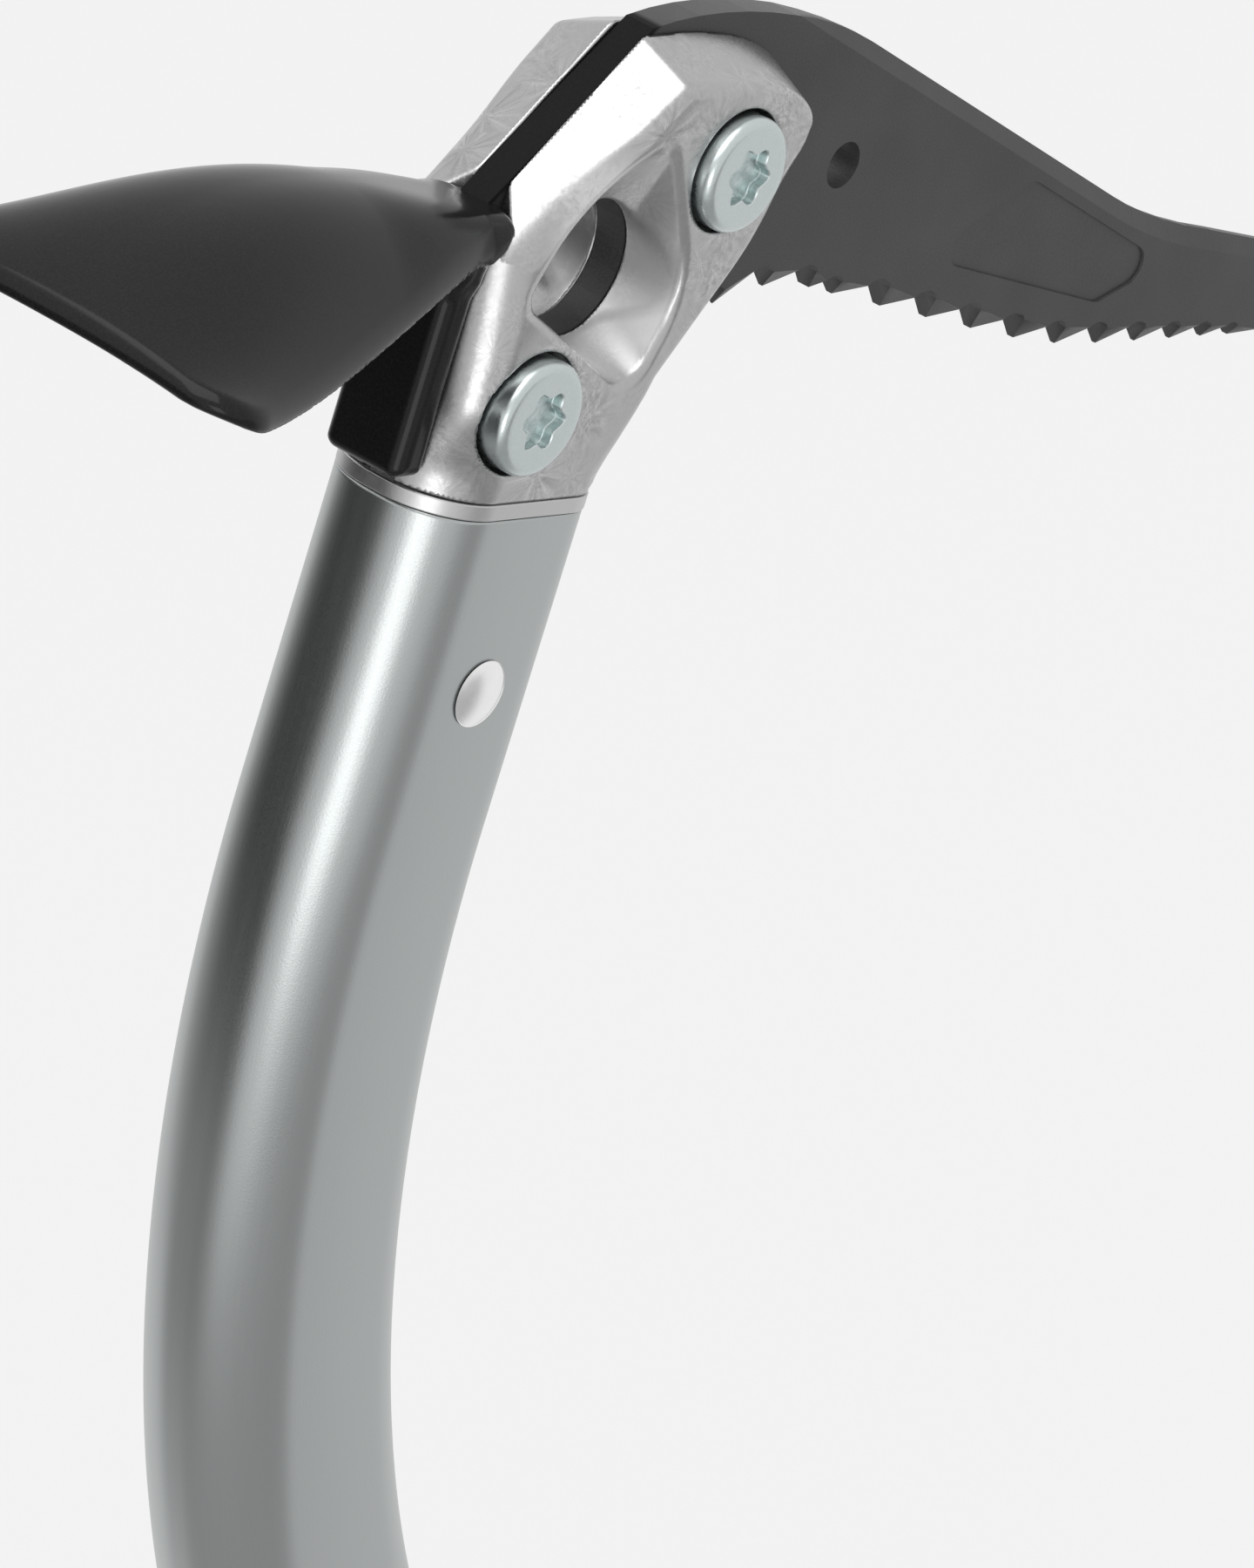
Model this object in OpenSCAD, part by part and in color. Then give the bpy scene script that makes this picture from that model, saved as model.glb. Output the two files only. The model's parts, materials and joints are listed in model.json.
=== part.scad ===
// Ice climbing tool: a curved tube with a forged head that holds a toothed pick and an
// adze, and a grip with a sliding finger rest, a folding hand rest and a spike.
// Z runs up the straight grip, X points to the pick and Y runs across the tool.
// The origin is the centre of the clip-in eye in the spike.

/* [Shaft] */
// Depth of the tube, front to back
shaft_depth = 29.2; // [27:0.1:32]
// Width of the tube across its flat sides
shaft_width = 20.5; // [19:0.1:23]
// Wall of the tube
shaft_wall = 1.6; // [1.2:0.1:2]
// Corner radius at the back of the tube
shaft_back_r = 9.2; // [6:0.1:9.5]
// Corner radius at the front of the tube
shaft_front_r = 6; // [4:0.5:8]
// Height of the tube's foot above the eye
shaft_foot = 17; // [16:0.5:22]
// Straight length from the tube's foot to the bend
shaft_straight = 263; // [255:1:300]
// Radius of the bend on the tube's axis
bend_r = 195; // [150:5:260]
// Angle of the bend
bend_angle = 40; // [25:1:45]
// Straight length above the bend
shaft_neck = 38; // [36:1:60]

/* [Head] */
// Width of the head across its cheeks
head_width = 21.4; // [20:0.1:24]
// Height of the collar ring between tube and head
collar_h = 2; // [1:0.1:4]
// Length of the spigot that sits in the tube
spigot_length = 34; // [30:1:35]
// Height at which the back of the head turns into its spine
head_back_h = 31.4; // [30:0.1:34]
// Height of the top of the head
head_top_h = 52.8; // [52:0.1:54]
// Angle of the spine from level
spine_angle = 44.5; // [42:0.5:47]
// Drop of the spine's bevel at the top of the head
spine_drop = 7.8; // [5:0.1:9]
// Chamfer along the head's front and top edges
head_chamfer = 2.6; // [1.5:0.1:3]
// Width left flat beside the slot along the spine
spine_land = 0.6; // [0.3:0.1:1.5]
// Radius of the nose round the upper bolt
nose_r = 10.6; // [9.5:0.1:11]
// Forward offset of the nose from the upper bolt
nose_forward = 4.5; // [3:0.1:6]
// Rise of the nose above the head's top edge
nose_rise = 0.4; // [0.3:0.1:0.8]
// Angle of the front edge from level
front_angle = 65.5; // [63:0.1:68]
// Height at which the front edge starts to widen
waist_h = 13; // [10:0.5:15]
// Radius of the window through cheeks and pick
window_r = 8.2; // [7:0.1:8.4]
// Forward place of the window
window_x = 6.8; // [6.5:0.1:7.5]
// Height of the window
window_h = 26.2; // [26:0.1:27]
// Corner radius of the flared pocket round the window
pocket_r = 2.5; // [1.5:0.1:3]
// Height of the slot's floor in front
slot_floor_h = 12; // [11:0.1:12.5]

/* [Bolts] */
// Forward place of the upper bolt
upper_bolt_x = 18.7; // [18:0.1:20]
// Height of the upper bolt
upper_bolt_h = 40.3; // [40:0.1:41]
// Forward place of the lower bolt
lower_bolt_x = -5; // [-6:0.1:-4]
// Height of the lower bolt
lower_bolt_h = 12.8; // [12:0.1:13]
// Diameter of the bolt's flange
flange_d = 13.5; // [11:0.1:14]
// Height of the bolt's flange
flange_h = 4.9; // [3.5:0.1:5.5]
// Edge rounding of the bolt's flange
flange_round = 1.2; // [0.5:0.1:1.5]
// Diameter of the bolt's shank
bolt_d = 6; // [5:0.1:6.5]
// Diameter of the nut's sleeve
nut_sleeve_d = 8.4; // [7.8:0.1:9.5]
// Width of the six-lobe socket
socket_d = 7; // [5:0.1:8]
// Depth of the six-lobe socket
socket_depth = 3.2; // [2:0.1:3.4]
// Diameter of the counterbore round a flange
counterbore_d = 15; // [14.6:0.1:15.6]
// Depth of the counterbore
counterbore_depth = 3.2; // [2.5:0.1:4]
// Thickness of the bolt's washer
washer_t = 0.4; // [0.3:0.1:1]
// Height of the head rivet below the tube's end
rivet_drop = 21; // [15:0.5:25]
// Forward place of the head rivet
rivet_x = 1.7; // [-2:0.1:4]
// Diameter of the rivet's shank
rivet_d = 5; // [4:0.1:6]
// Diameter of the rivet's domed head
rivet_head_d = 8; // [7:0.1:10]
// Height of the rivet's domed head
rivet_head_h = 1.1; // [0.6:0.1:2]

/* [Pick] */
// Thickness of the pick
pick_t = 4; // [3.2:0.1:5]
// Reach of the tip from the tube's axis
pick_reach = 176; // [168:1:190]
// Height of the tip above the tube's end
pick_tip_h = 9.5; // [7:0.1:10]
// Height of the pick's crest over the head
pick_crest_h = 55.3; // [54.8:0.1:57]
// Pitch of the largest teeth
tooth_pitch = 10.3; // [8:0.1:12]
// Loss of pitch towards the tip
pitch_loss = 5.5; // [4:0.1:6]
// Drop of the bevel along the top edge
top_bevel = 2.2; // [0.6:0.1:2.5]
// Width left flat on the bevelled edges
edge_land = 1.2; // [0.6:0.1:2]
// Diameter of the hole for a pick weight
weight_hole_d = 5.7; // [4:0.1:6.5]
// Depth of the recessed panel on each side
panel_depth = 0.35; // [0.2:0.05:0.6]

/* [Adze] */
// Thickness of the adze's blade at the root
adze_t = 4; // [3:0.1:5]
// Thickness of the adze's cutting edge
adze_edge_t = 1.6; // [1:0.1:2.5]
// Reach of the cutting edge behind the tube's axis
adze_reach = 77; // [68:1:86]
// Height of the cutting edge
adze_edge_h = 24.6; // [18:0.1:27]
// Width of the cutting edge
adze_width = 56; // [46:1:66]
// Width of the adze at its root
adze_root_w = 14.8; // [13:0.1:16]
// Wall of the adze's tongue round the lower bolt
tongue_wall = 3.2; // [2.5:0.1:3.4]
// Width of the flange behind the head
adze_flange_w = 10.4; // [8:0.1:13]
// Thickness of the flange behind the head
adze_flange_t = 3.7; // [3:0.1:5]
// Height of the flange's foot
adze_foot_h = 4; // [3.5:0.1:4.5]

/* [Grip] */
// Length of the grip
grip_length = 132; // [120:1:134]
// Thickness of the grip's stiff core
grip_core_t = 1.3; // [1:0.1:2]
// Thickness of the grip's soft skin
grip_skin_t = 2.2; // [1.5:0.1:3]
// Height of the core's end rings
grip_ring_h = 3; // [2:0.1:5]

/* [Spike] */
// Thickness of the spike
spike_t = 5; // [4:0.1:6]
// Radius of the clip-in eye
eye_r = 8; // [7:0.1:8.5]
// Width of the spike across the eye
spike_w = 27; // [26:0.1:29]
// Length of the point below the eye's centre
point_length = 36; // [30:1:45]
// Width of the tang in the plug
tang_w = 15; // [12:0.1:18]
// Length of the end plug in the tube
plug_length = 30; // [24:1:36]
// Wall of the ferrule
ferrule_wall = 2; // [1.6:0.1:3]
// Height of the ferrule over the tube
ferrule_h = 22; // [20:0.5:26]

/* [Hand rest] */
// Length of the hand rest from its pin
rest_length = 38; // [34:1:48]
// Width of the hand rest's shelf
rest_w = 24; // [22:0.5:28]
// Thickness of the shelf
rest_t = 5; // [4:0.1:6]
// Height of the shelf's upturned lip
rest_lip = 9; // [8:0.5:12]
// Thickness of the soft pad on the shelf
rest_pad_t = 2; // [1:0.1:3]
// Wall of the hub round its pin
hub_wall = 3; // [2.5:0.1:3.5]
// Thickness of the washers beside the hub
rest_washer_t = 0.8; // [0.5:0.1:1.2]
// Width of the hand rest's hub
rest_hub_w = 9; // [8:0.1:10]
// Diameter of the hand rest's pin
rest_pin_d = 4; // [3:0.1:4.5]
// Thickness of each lug on the ferrule
lug_t = 3.5; // [3:0.1:4.5]

/* [Finger rest] */
// Height of the finger rest's band
band_h = 20; // [18:0.5:22]
// Wall of the band
band_wall = 3; // [2.4:0.1:4]
// Thickness of the liner in the band
liner_t = 1; // [0.8:0.1:1.6]
// Reach of the finger hook from the band
hook_reach = 24; // [20:0.5:30]
// Width of the finger hook
hook_w = 16; // [13:0.5:20]
// Thickness of the finger hook
hook_t = 4; // [3:0.1:5]
// Height of the hook's upturned lip
hook_lip = 6; // [5:0.5:8]
// Thickness of the soft pad on the hook
hook_pad_t = 1.6; // [1:0.1:2.5]
// Width of the brake shoe under the lever
shoe_w = 9; // [7:0.5:10]
// Height of the brake shoe
shoe_h = 10; // [8:0.5:12]
// Thickness of each lug for the lever
lever_lug_t = 2.6; // [2:0.1:3.5]
// Length of the lock lever from its pin
lever_length = 27; // [22:0.5:32]
// Width of the lock lever
lever_w = 8; // [6:0.1:9]
// Radius of the lever's cam
cam_r = 3.6; // [3.2:0.1:4.5]
// Diameter of the lever's pin
lever_pin_d = 3; // [2.4:0.1:3.2]

/* [Fits] */
// Gap on each side of the plates in the head's slot
slot_gap = 0.1; // [0.05:0.01:0.2]
// Gap between pieces that are pressed or bonded together
seat_gap = 0.05; // [0.02:0.01:0.1]
// Gap round a turning pin
pin_gap = 0.05; // [0.03:0.01:0.1]
// Gap between pieces that move past each other
move_gap = 0.4; // [0.3:0.05:0.6]

/* [Hidden] */
$fn = 64;

// Length by which a cutter runs past the piece it cuts
past = 1;
// Length of a cutter that clears the whole head
far = 90;
// Length by which the neck laps the bend, and the fine step at its start
neck_lap = 0.3;
neck_step = 0.05;

// Points of a cubic curve from a to d, pulled towards b and c
function curve(a, b, c, d, steps = 10) = [
    for (i = [0 : steps]) let (t = i / steps, u = 1 - t)
        u * u * u * a + 3 * u * u * t * b + 3 * u * t * t * c + t * t * t * d
];

// Points of an arc about a centre
function arc(centre, r, from, to, steps = 8) = [
    for (i = [0 : steps]) let (a = from + (to - from) * i / steps) centre + r * [cos(a), sin(a)]
];

back_x = -shaft_depth / 2;
bend_start = shaft_foot + shaft_straight;
upper_bolt_at = [upper_bolt_x, upper_bolt_h];
lower_bolt_at = [lower_bolt_x, lower_bolt_h];
bolts_at = [upper_bolt_at, lower_bolt_at];
window_at = [window_x, window_h];

// Head outline, seen from the side
slot_w = pick_t + 2 * slot_gap;
cheek = head_width / 2;
seat_n = cheek - counterbore_depth;
spine_foot = [back_x, head_back_h];
spine_top = [back_x + (head_top_h - head_back_h) / tan(spine_angle), head_top_h];
nose_at = [upper_bolt_x + nose_forward, head_top_h + nose_rise - nose_r];
nose_turn = acos(1 - nose_rise / nose_r);
nose_join = nose_at + nose_r * [-sin(nose_turn), cos(nose_turn)];
front_top = nose_at + nose_r * [cos(front_angle), -sin(front_angle)];
waist = [front_top.x - (front_top.y - waist_h) / tan(front_angle), waist_h];
tongue_r = bolt_d / 2 + tongue_wall;
ridge_foot = spine_foot + [0.3, -0.4];
ridge_top = [spine_top.x + 0.6, head_top_h - spine_drop];
ridge_angle = atan2(ridge_top.y - ridge_foot.y, ridge_top.x - ridge_foot.x);
ridge_rise = spine_top - ridge_foot;
spine_reach = ridge_rise.y * cos(ridge_angle) - ridge_rise.x * sin(ridge_angle);
chamfer_lap = 0.4 * head_chamfer;
nose_lap = 3;
spine_bevel = atan2(spine_reach, cheek - slot_w / 2 - spine_land);
flare = curve([-back_x, collar_h], [-back_x, collar_h + waist_h / 2],
    waist - waist_h / 3 * [cos(front_angle), sin(front_angle)], waist, 3);
front_edge = concat(flare, [front_top]);
tongue_front = lower_bolt_x + tongue_r + move_gap;

// Lower half, from the eye up
ferrule_base = 3;
ferrule_foot = shaft_foot - ferrule_base - seat_gap;
ferrule_grow = ferrule_wall + seat_gap;
ferrule_top = shaft_foot + ferrule_h;
grip_foot = ferrule_top + seat_gap;
core_grow = seat_gap + grip_core_t;
skin_grow = core_grow + seat_gap + grip_skin_t;
grip_skin_length = grip_length - 2 * (grip_ring_h + seat_gap);
spike_rivet_z = shaft_foot + ferrule_h / 2;
band_foot = grip_foot + grip_length + move_gap;
liner_grow = move_gap + liner_t;
band_grow = liner_grow + seat_gap + band_wall;
hook_top = band_foot + (band_h + hook_t) / 2;

// Hinges of the hand rest and of the lock lever
rest_hub_r = rest_pin_d / 2 + hub_wall;
shelf_from = rest_hub_r + 2 * move_gap;
rest_lug_in = rest_hub_w / 2 + move_gap + rest_washer_t;
rest_lug_out = rest_lug_in + lug_t;
rest_pin_at = [shaft_depth / 2 + ferrule_grow + move_gap + rest_hub_r, spike_rivet_z];
cam_at = [back_x - band_grow - move_gap - cam_r, band_foot + band_h / 2];

// Pick outline, seen from the side
spine_slope = tan(spine_angle);
tang_x = back_x + 2.1;
spine_at_tang = [tang_x, head_back_h + (tang_x - back_x) * spine_slope];
pick_back_top = [spine_top.x + 0.9 / spine_slope, head_top_h + 0.9];
pick_shoulder = [52, pick_crest_h - 4.4];
pick_dip = [112, pick_crest_h - 25.2];
pick_hollow = [136, pick_dip.y - 5.2];
beak = [pick_reach - 24, pick_hollow.y - 2.3];
pick_tip = [pick_reach, pick_tip_h];
weight_hole_at = [51.8, 36.5];
hollow = curve(pick_dip, pick_dip + [6, -2.1], pick_dip + [14, -4.1], pick_hollow, 5);
bevel_line = concat([pick_shoulder], hollow, [beak]);
bevel_lap = 0.3;
panel_corners = [[92.2, 30.6], [118.6, 21.4], [113.6, 19.5], [81.8, 25.4]];
panel_round = 2.6;

// Lower edge of the pick: it climbs to a crest by the head and flattens to the tip
crest_x = 49;
crest_h = 21.4;
crest_bend = 0.015;
slope_x = 54.7;
slope_h = 20.7;
edge_slope = 0.19;
flat_h = 10.3;
flat_blend = 1.6;
first_tooth = 60;
root_step = 5.6;
root_pitch = 8.4;
root_count = 3;

function pitch(i) = tooth_pitch - pitch_loss * pow(i / 10, 2.2);
function tooth(i) = i == 0 ? first_tooth : tooth(i - 1) + pitch(i - 1);
function smooth_rise(rise) = (rise + sqrt(rise * rise + flat_blend * flat_blend)) / 2;
function edge_h(x) = x < slope_x
    ? crest_h - crest_bend * pow(crest_x - x, 2)
    : flat_h + smooth_rise(slope_h - edge_slope * (x - slope_x) - flat_h);

// Each tooth is the place of its tip and its size, which is about the pitch behind it
teeth = concat(
    [for (i = [root_count - 1 : -1 : 0]) [first_tooth - root_step - i * root_pitch, root_pitch]],
    [for (i = [0 : 10]) if (tooth(i) < beak.x + 2) [tooth(i), i == 0 ? root_pitch - 1 : pitch(i - 1)]]
);
last_tooth = teeth[len(teeth) - 1];

// A tooth's tip, the top of its steep flank and the round gullet from there to the next edge behind
function tooth_tip(k) = [teeth[k][0], edge_h(teeth[k][0])];
function tooth_flank(k) = tooth_tip(k) + teeth[k][1] * [-0.12, 0.29];
function tooth_valley(k) = tooth_tip(k) + teeth[k][1] * [-0.58, 0.32];
function gullet(k) = curve(tooth_flank(k), tooth_flank(k) + teeth[k][1] * [-0.06, 0.14],
    tooth_valley(k) + teeth[k][1] * [0.16, 0.12], tooth_valley(k), 6);

// Tube section, with round corners that are larger at the back
module tube_section(grow = 0) {
    half_d = shaft_depth / 2 + grow;
    half_w = shaft_width / 2 + grow;
    back_r = shaft_back_r + grow;
    front_r = shaft_front_r + grow;
    for (side = [-1, 1]) {
        translate([back_r - half_d, side * (half_w - back_r)]) circle(back_r);
        translate([half_d - front_r, side * (half_w - front_r)]) circle(front_r);
    }
    polygon([
        [back_r - half_d, -half_w], [half_d - front_r, -half_w],
        [half_d - front_r, half_w], [back_r - half_d, half_w]
    ]);
    translate([-half_d, back_r - half_w]) square([back_r, 2 * (half_w - back_r)]);
    translate([half_d - front_r, front_r - half_w]) square([front_r, 2 * (half_w - front_r)]);
}

// Puts children at the upper end of the tube, with Z along the neck
module neck_end() {
    translate([bend_r * (1 - cos(bend_angle)), 0, bend_start + bend_r * sin(bend_angle)])
        rotate([0, bend_angle, 0]) translate([0, 0, shaft_neck]) children();
}

// Side view of the head: X forward, Y up the neck, Z out of the near cheek
module side_view() {
    neck_end() rotate([90, 0, 0]) children();
}

// Side view of the lower half: X forward, Y up the grip, Z to the near side
module grip_view() {
    rotate([90, 0, 0]) children();
}

// A flat piece of the given thickness, centred across the tool
module plate(t) {
    linear_extrude(t, center = true) children();
}

// A round cutter right through at a place in a side view
module drill(at, d) {
    translate([at.x, at.y, 0]) cylinder(d = d, h = far, center = true);
}

// The tube's run of straight, bend and neck, with its ends lengthened by extra
module tube_run(grow = 0, extra = 0) {
    translate([0, 0, shaft_foot - extra]) linear_extrude(shaft_straight + extra) tube_section(grow);
    translate([bend_r, 0, bend_start]) rotate([90, 0, 180])
        rotate_extrude(angle = bend_angle, $fn = 128)
            translate([bend_r, 0]) mirror([1, 0]) tube_section(grow);
    neck_end() translate([0, 0, -shaft_neck - neck_lap])
        linear_extrude(shaft_neck + neck_lap + extra) tube_section(grow + neck_step);
}

module shaft() {
    color("darkgray") difference() {
        tube_run();
        tube_run(-shaft_wall, past);
        side_view() drill([rivet_x, -rivet_drop], rivet_d + 2 * seat_gap);
        grip_view() drill([0, spike_rivet_z], rivet_d + 2 * seat_gap);
    }
}

module shaft_collar() {
    color("silver") neck_end() difference() {
        translate([0, 0, seat_gap]) linear_extrude(collar_h - 2 * seat_gap) tube_section();
        translate([0, 0, -past]) linear_extrude(collar_h + 2 * past) tube_section(-shaft_wall);
    }
}

module head_outline() {
    polygon(concat([[back_x, collar_h]], front_edge, [nose_at, nose_join, spine_top, spine_foot]));
    translate(nose_at) circle(nose_r);
}

// Upright prism as wide as the cheeks, with round corners at the back
module head_plan() {
    rotate([-90, 0, 0]) linear_extrude(far) {
        for (side = [-1, 1])
            translate([back_x + shaft_back_r, side * (cheek - shaft_back_r)]) circle(shaft_back_r);
        translate([back_x, shaft_back_r - cheek]) square([far, 2 * (cheek - shaft_back_r)]);
        translate([back_x + shaft_back_r, -cheek]) square([far, 2 * cheek]);
    }
}

// Chamfer of the near cheek along the line a to b, with the head on its left
module edge_chamfer(a, b) {
    translate([a.x, a.y, cheek]) rotate([0, 0, atan2(b.y - a.y, b.x - a.x)])
        translate([-chamfer_lap, head_chamfer, 0]) rotate([-45, 0, 0])
            translate([0, -far, -far]) cube([norm(b - a) + 2 * chamfer_lap, far, 2 * far]);
}

module nose_chamfer() {
    inner = nose_r - head_chamfer;
    translate([nose_at.x, nose_at.y, cheek]) rotate([0, 0, nose_lap - front_angle])
        rotate_extrude(angle = front_angle + 90 + nose_turn - 2 * nose_lap)
            polygon([[inner, 0], [nose_r + past, -head_chamfer - past], [nose_r + past, past], [inner, past]]);
}

module head_edges() {
    for (i = [0 : len(front_edge) - 2]) edge_chamfer(front_edge[i], front_edge[i + 1]);
    nose_chamfer();
    edge_chamfer(nose_join, spine_top);
}

module spigot() {
    rotate([-90, 0, 0]) translate([0, 0, -spigot_length])
        linear_extrude(spigot_length + collar_h + past) tube_section(-shaft_wall - seat_gap);
}

// Slot for pick and adze, open at the back, the top and the front
module slot_outline() {
    polygon([
        [back_x - past, collar_h], [tongue_front, collar_h], [tongue_front, slot_floor_h],
        [far, slot_floor_h], [far, far], [back_x - past, far]
    ]);
}

// Flared pocket: the window's circle at the slot opens to four corners on the cheek
module pocket() {
    corners = [[-16.6, 0.4], [-0.2, 15.4], [8.5, 1.4], [2.8, -8]];
    hull() {
        translate([window_x, window_h, slot_w / 2 - past]) cylinder(r = 0.95 * window_r, h = past, $fn = 32);
        for (p = corners)
            translate([window_x + p.x, window_h + p.y, cheek]) cylinder(r = pocket_r, h = past, $fn = 32);
    }
}

// Bevel along the spine: it starts at the back corner and widens up to the top
module spine_cut() {
    translate([ridge_foot.x, ridge_foot.y, cheek]) rotate([0, 0, ridge_angle])
        rotate([spine_bevel, 0, 0]) translate([-far, 0, -far]) cube([2 * far, far, 2 * far]);
}

module head() {
    color("gainsboro") side_view() difference() {
        union() {
            intersection() {
                plate(far) head_outline();
                head_plan();
            }
            spigot();
        }
        plate(slot_w) slot_outline();
        drill(window_at, 2 * window_r);
        for (side = [0, 1]) mirror([0, 0, side]) {
            pocket();
            spine_cut();
            head_edges();
            for (at = bolts_at)
                translate([at.x, at.y, seat_n]) cylinder(d = counterbore_d, h = far);
        }
        for (at = bolts_at) {
            drill(at, bolt_d + 2 * seat_gap);
            translate([at.x, at.y, -far]) cylinder(d = nut_sleeve_d + 2 * seat_gap, h = far);
        }
        drill([rivet_x, -rivet_drop], rivet_d + 2 * seat_gap);
    }
}

module pick_outline() {
    polygon(concat(
        [[tang_x, lower_bolt_h + tongue_r + move_gap], spine_at_tang],
        curve(pick_back_top, [20, pick_crest_h + 1.5], [38, pick_crest_h + 0.4], pick_shoulder),
        hollow,
        curve(beak, beak + [10, -1.5], pick_tip + [-6, 5.5], pick_tip),
        [[last_tooth[0] + 4, flat_h + 1.2]],
        [for (k = [len(teeth) - 1 : -1 : 0]) each concat([tooth_tip(k)], gullet(k))],
        [[crest_x - 18, slot_floor_h + 2.5], [tongue_front + 8, slot_floor_h + move_gap]],
        arc(lower_bolt_at, tongue_r + move_gap, 0, 90)
    ));
}

// Slanting cut that starts on the near face along the line a to b and thins the edge
// on the line's left to the land, over the given drop
module edge_cut(a, b, drop, before = 0, after = 0) {
    depth = (pick_t - edge_land) / 2;
    translate([a.x, a.y, pick_t / 2]) rotate([0, 0, atan2(b.y - a.y, b.x - a.x)])
        rotate([-atan(depth / drop), 0, 0])
            translate([-before, 0, 0]) cube([norm(b - a) + before + after, 9 * drop, 9 * depth]);
}

// Chamfer along a tooth, from the top of its flank to the gullet in front of it
module tooth_cut(k) {
    next = k < len(teeth) - 1 ? tooth_valley(k + 1) : [last_tooth[0] + 4, flat_h + 1.2];
    lift = [0, 0.013 * teeth[k][1]];
    edge_cut(next + lift, tooth_flank(k) + lift, 0.245 * teeth[k][1], edge_land / 2, edge_land / 2);
}

module panel() {
    hull() for (p = panel_corners)
        translate([p.x, p.y, pick_t / 2 - panel_depth]) cylinder(r = panel_round, h = past, $fn = 32);
}

module pick() {
    color("dimgray") side_view() difference() {
        plate(pick_t) pick_outline();
        drill(window_at, 2 * window_r);
        drill(upper_bolt_at, bolt_d + 2 * seat_gap);
        drill(weight_hole_at, weight_hole_d);
        for (side = [0, 1]) mirror([0, 0, side]) {
            panel();
            for (i = [0 : len(bevel_line) - 2])
                edge_cut(bevel_line[i] - [0, top_bevel], bevel_line[i + 1] - [0, top_bevel],
                    top_bevel, i == 0 ? shaft_depth : bevel_lap, bevel_lap);
            for (k = [0 : len(teeth) - 1]) tooth_cut(k);
        }
    }
}

// Adze blade: each row gives the heights of its crown and of its lower side edges
blade_rows = 14;
blade_columns = 12;
blade_root = [back_x - 1.5, head_back_h + 2.2];
corner_round = 5;
side_bend = 2.4;
blade_heights = curve(
    [blade_root.y, blade_root.y - 0.8], [38.5, 27], [41.5, 20.2], [adze_edge_h, adze_edge_h - 0.3], blade_rows
);

function blade_point(i, j, under) =
    let (s = i / blade_rows, t = 2 * j / blade_columns - 1, h = blade_heights[i])
    [
        blade_root.x - (adze_reach + blade_root.x) * s + corner_round * pow(abs(t), 6) * pow(s, 3),
        h[0] - (h[0] - h[1]) * pow(abs(t), side_bend) - under * (adze_t + (adze_edge_t - adze_t) * s),
        t * (adze_root_w + (adze_width - adze_root_w) * s) / 2
    ];

module blade() {
    row = blade_columns + 1;
    sheet = (blade_rows + 1) * row;
    points = [
        for (under = [0, 1]) for (i = [0 : blade_rows]) for (j = [0 : blade_columns])
            blade_point(i, j, under)
    ];
    skin = [
        for (i = [0 : blade_rows - 1]) for (j = [0 : blade_columns - 1]) let (a = i * row + j)
            each [
                [a, a + 1, a + row], [a + 1, a + row + 1, a + row],
                [sheet + a, sheet + a + row, sheet + a + 1],
                [sheet + a + 1, sheet + a + row, sheet + a + row + 1]
            ]
    ];
    ends = [
        for (j = [0 : blade_columns - 1]) let (b = blade_rows * row + j)
            each [
                [j, sheet + j, j + 1], [j + 1, sheet + j, sheet + j + 1],
                [b, b + 1, sheet + b], [b + 1, sheet + b + 1, sheet + b]
            ]
    ];
    sides = [
        for (i = [0 : blade_rows - 1]) let (a = i * row, b = i * row + blade_columns)
            each [
                [a, a + row, sheet + a], [a + row, sheet + a + row, sheet + a],
                [b, sheet + b, b + row], [b + row, sheet + b, sheet + b + row]
            ]
    ];
    polyhedron(points, concat(skin, ends, sides));
}

module adze() {
    flange_x = back_x - seat_gap;
    flange_top = head_back_h - adze_t;
    root_back = blade_root.x - 1.5 * adze_t;
    color([0.1, 0.1, 0.1]) side_view() difference() {
        union() {
            blade();
            plate(adze_root_w - past) polygon([
                spine_at_tang + [0, 2 * seat_gap], spine_foot + [-seat_gap, seat_gap],
                [flange_x, flange_top], [flange_x - adze_flange_t + past, flange_top],
                [root_back, blade_root.y - adze_t + past], [root_back, blade_root.y + past / 2]
            ]);
            plate(adze_flange_w) translate([flange_x - adze_flange_t, adze_foot_h])
                square([adze_flange_t, head_back_h - adze_foot_h]);
            plate(pick_t) {
                translate([flange_x - past, adze_foot_h])
                    square([lower_bolt_x - flange_x + past, lower_bolt_h + tongue_r - adze_foot_h]);
                translate(lower_bolt_at) circle(tongue_r);
            }
        }
        drill(lower_bolt_at, bolt_d + 2 * seat_gap);
    }
}

// Flange with a rounded rim, standing on Z = 0
module flange() {
    flange_r = flange_d / 2;
    rotate_extrude() {
        square([flange_r, flange_h - flange_round]);
        square([flange_r - flange_round, flange_h]);
        translate([flange_r - flange_round, flange_h - flange_round]) circle(flange_round, $fn = 32);
    }
}

module six_lobe_socket() {
    lobe_r = socket_d / 8;
    cylinder(d = 0.8 * socket_d, h = far);
    for (i = [0 : 5]) rotate(60 * i)
        translate([socket_d / 2 - lobe_r, 0, 0]) cylinder(r = lobe_r, h = far, $fn = 32);
}

module bolt(at) {
    shank = 2 * (seat_n + washer_t) + flange_h - past;
    color("lightgray") side_view() translate([at.x, at.y, seat_n + washer_t]) difference() {
        union() {
            flange();
            translate([0, 0, -shank]) cylinder(d = bolt_d, h = shank + past);
        }
        translate([0, 0, flange_h - socket_depth]) six_lobe_socket();
    }
}

module upper_bolt() {
    bolt(upper_bolt_at);
}

module lower_bolt() {
    bolt(lower_bolt_at);
}

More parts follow.
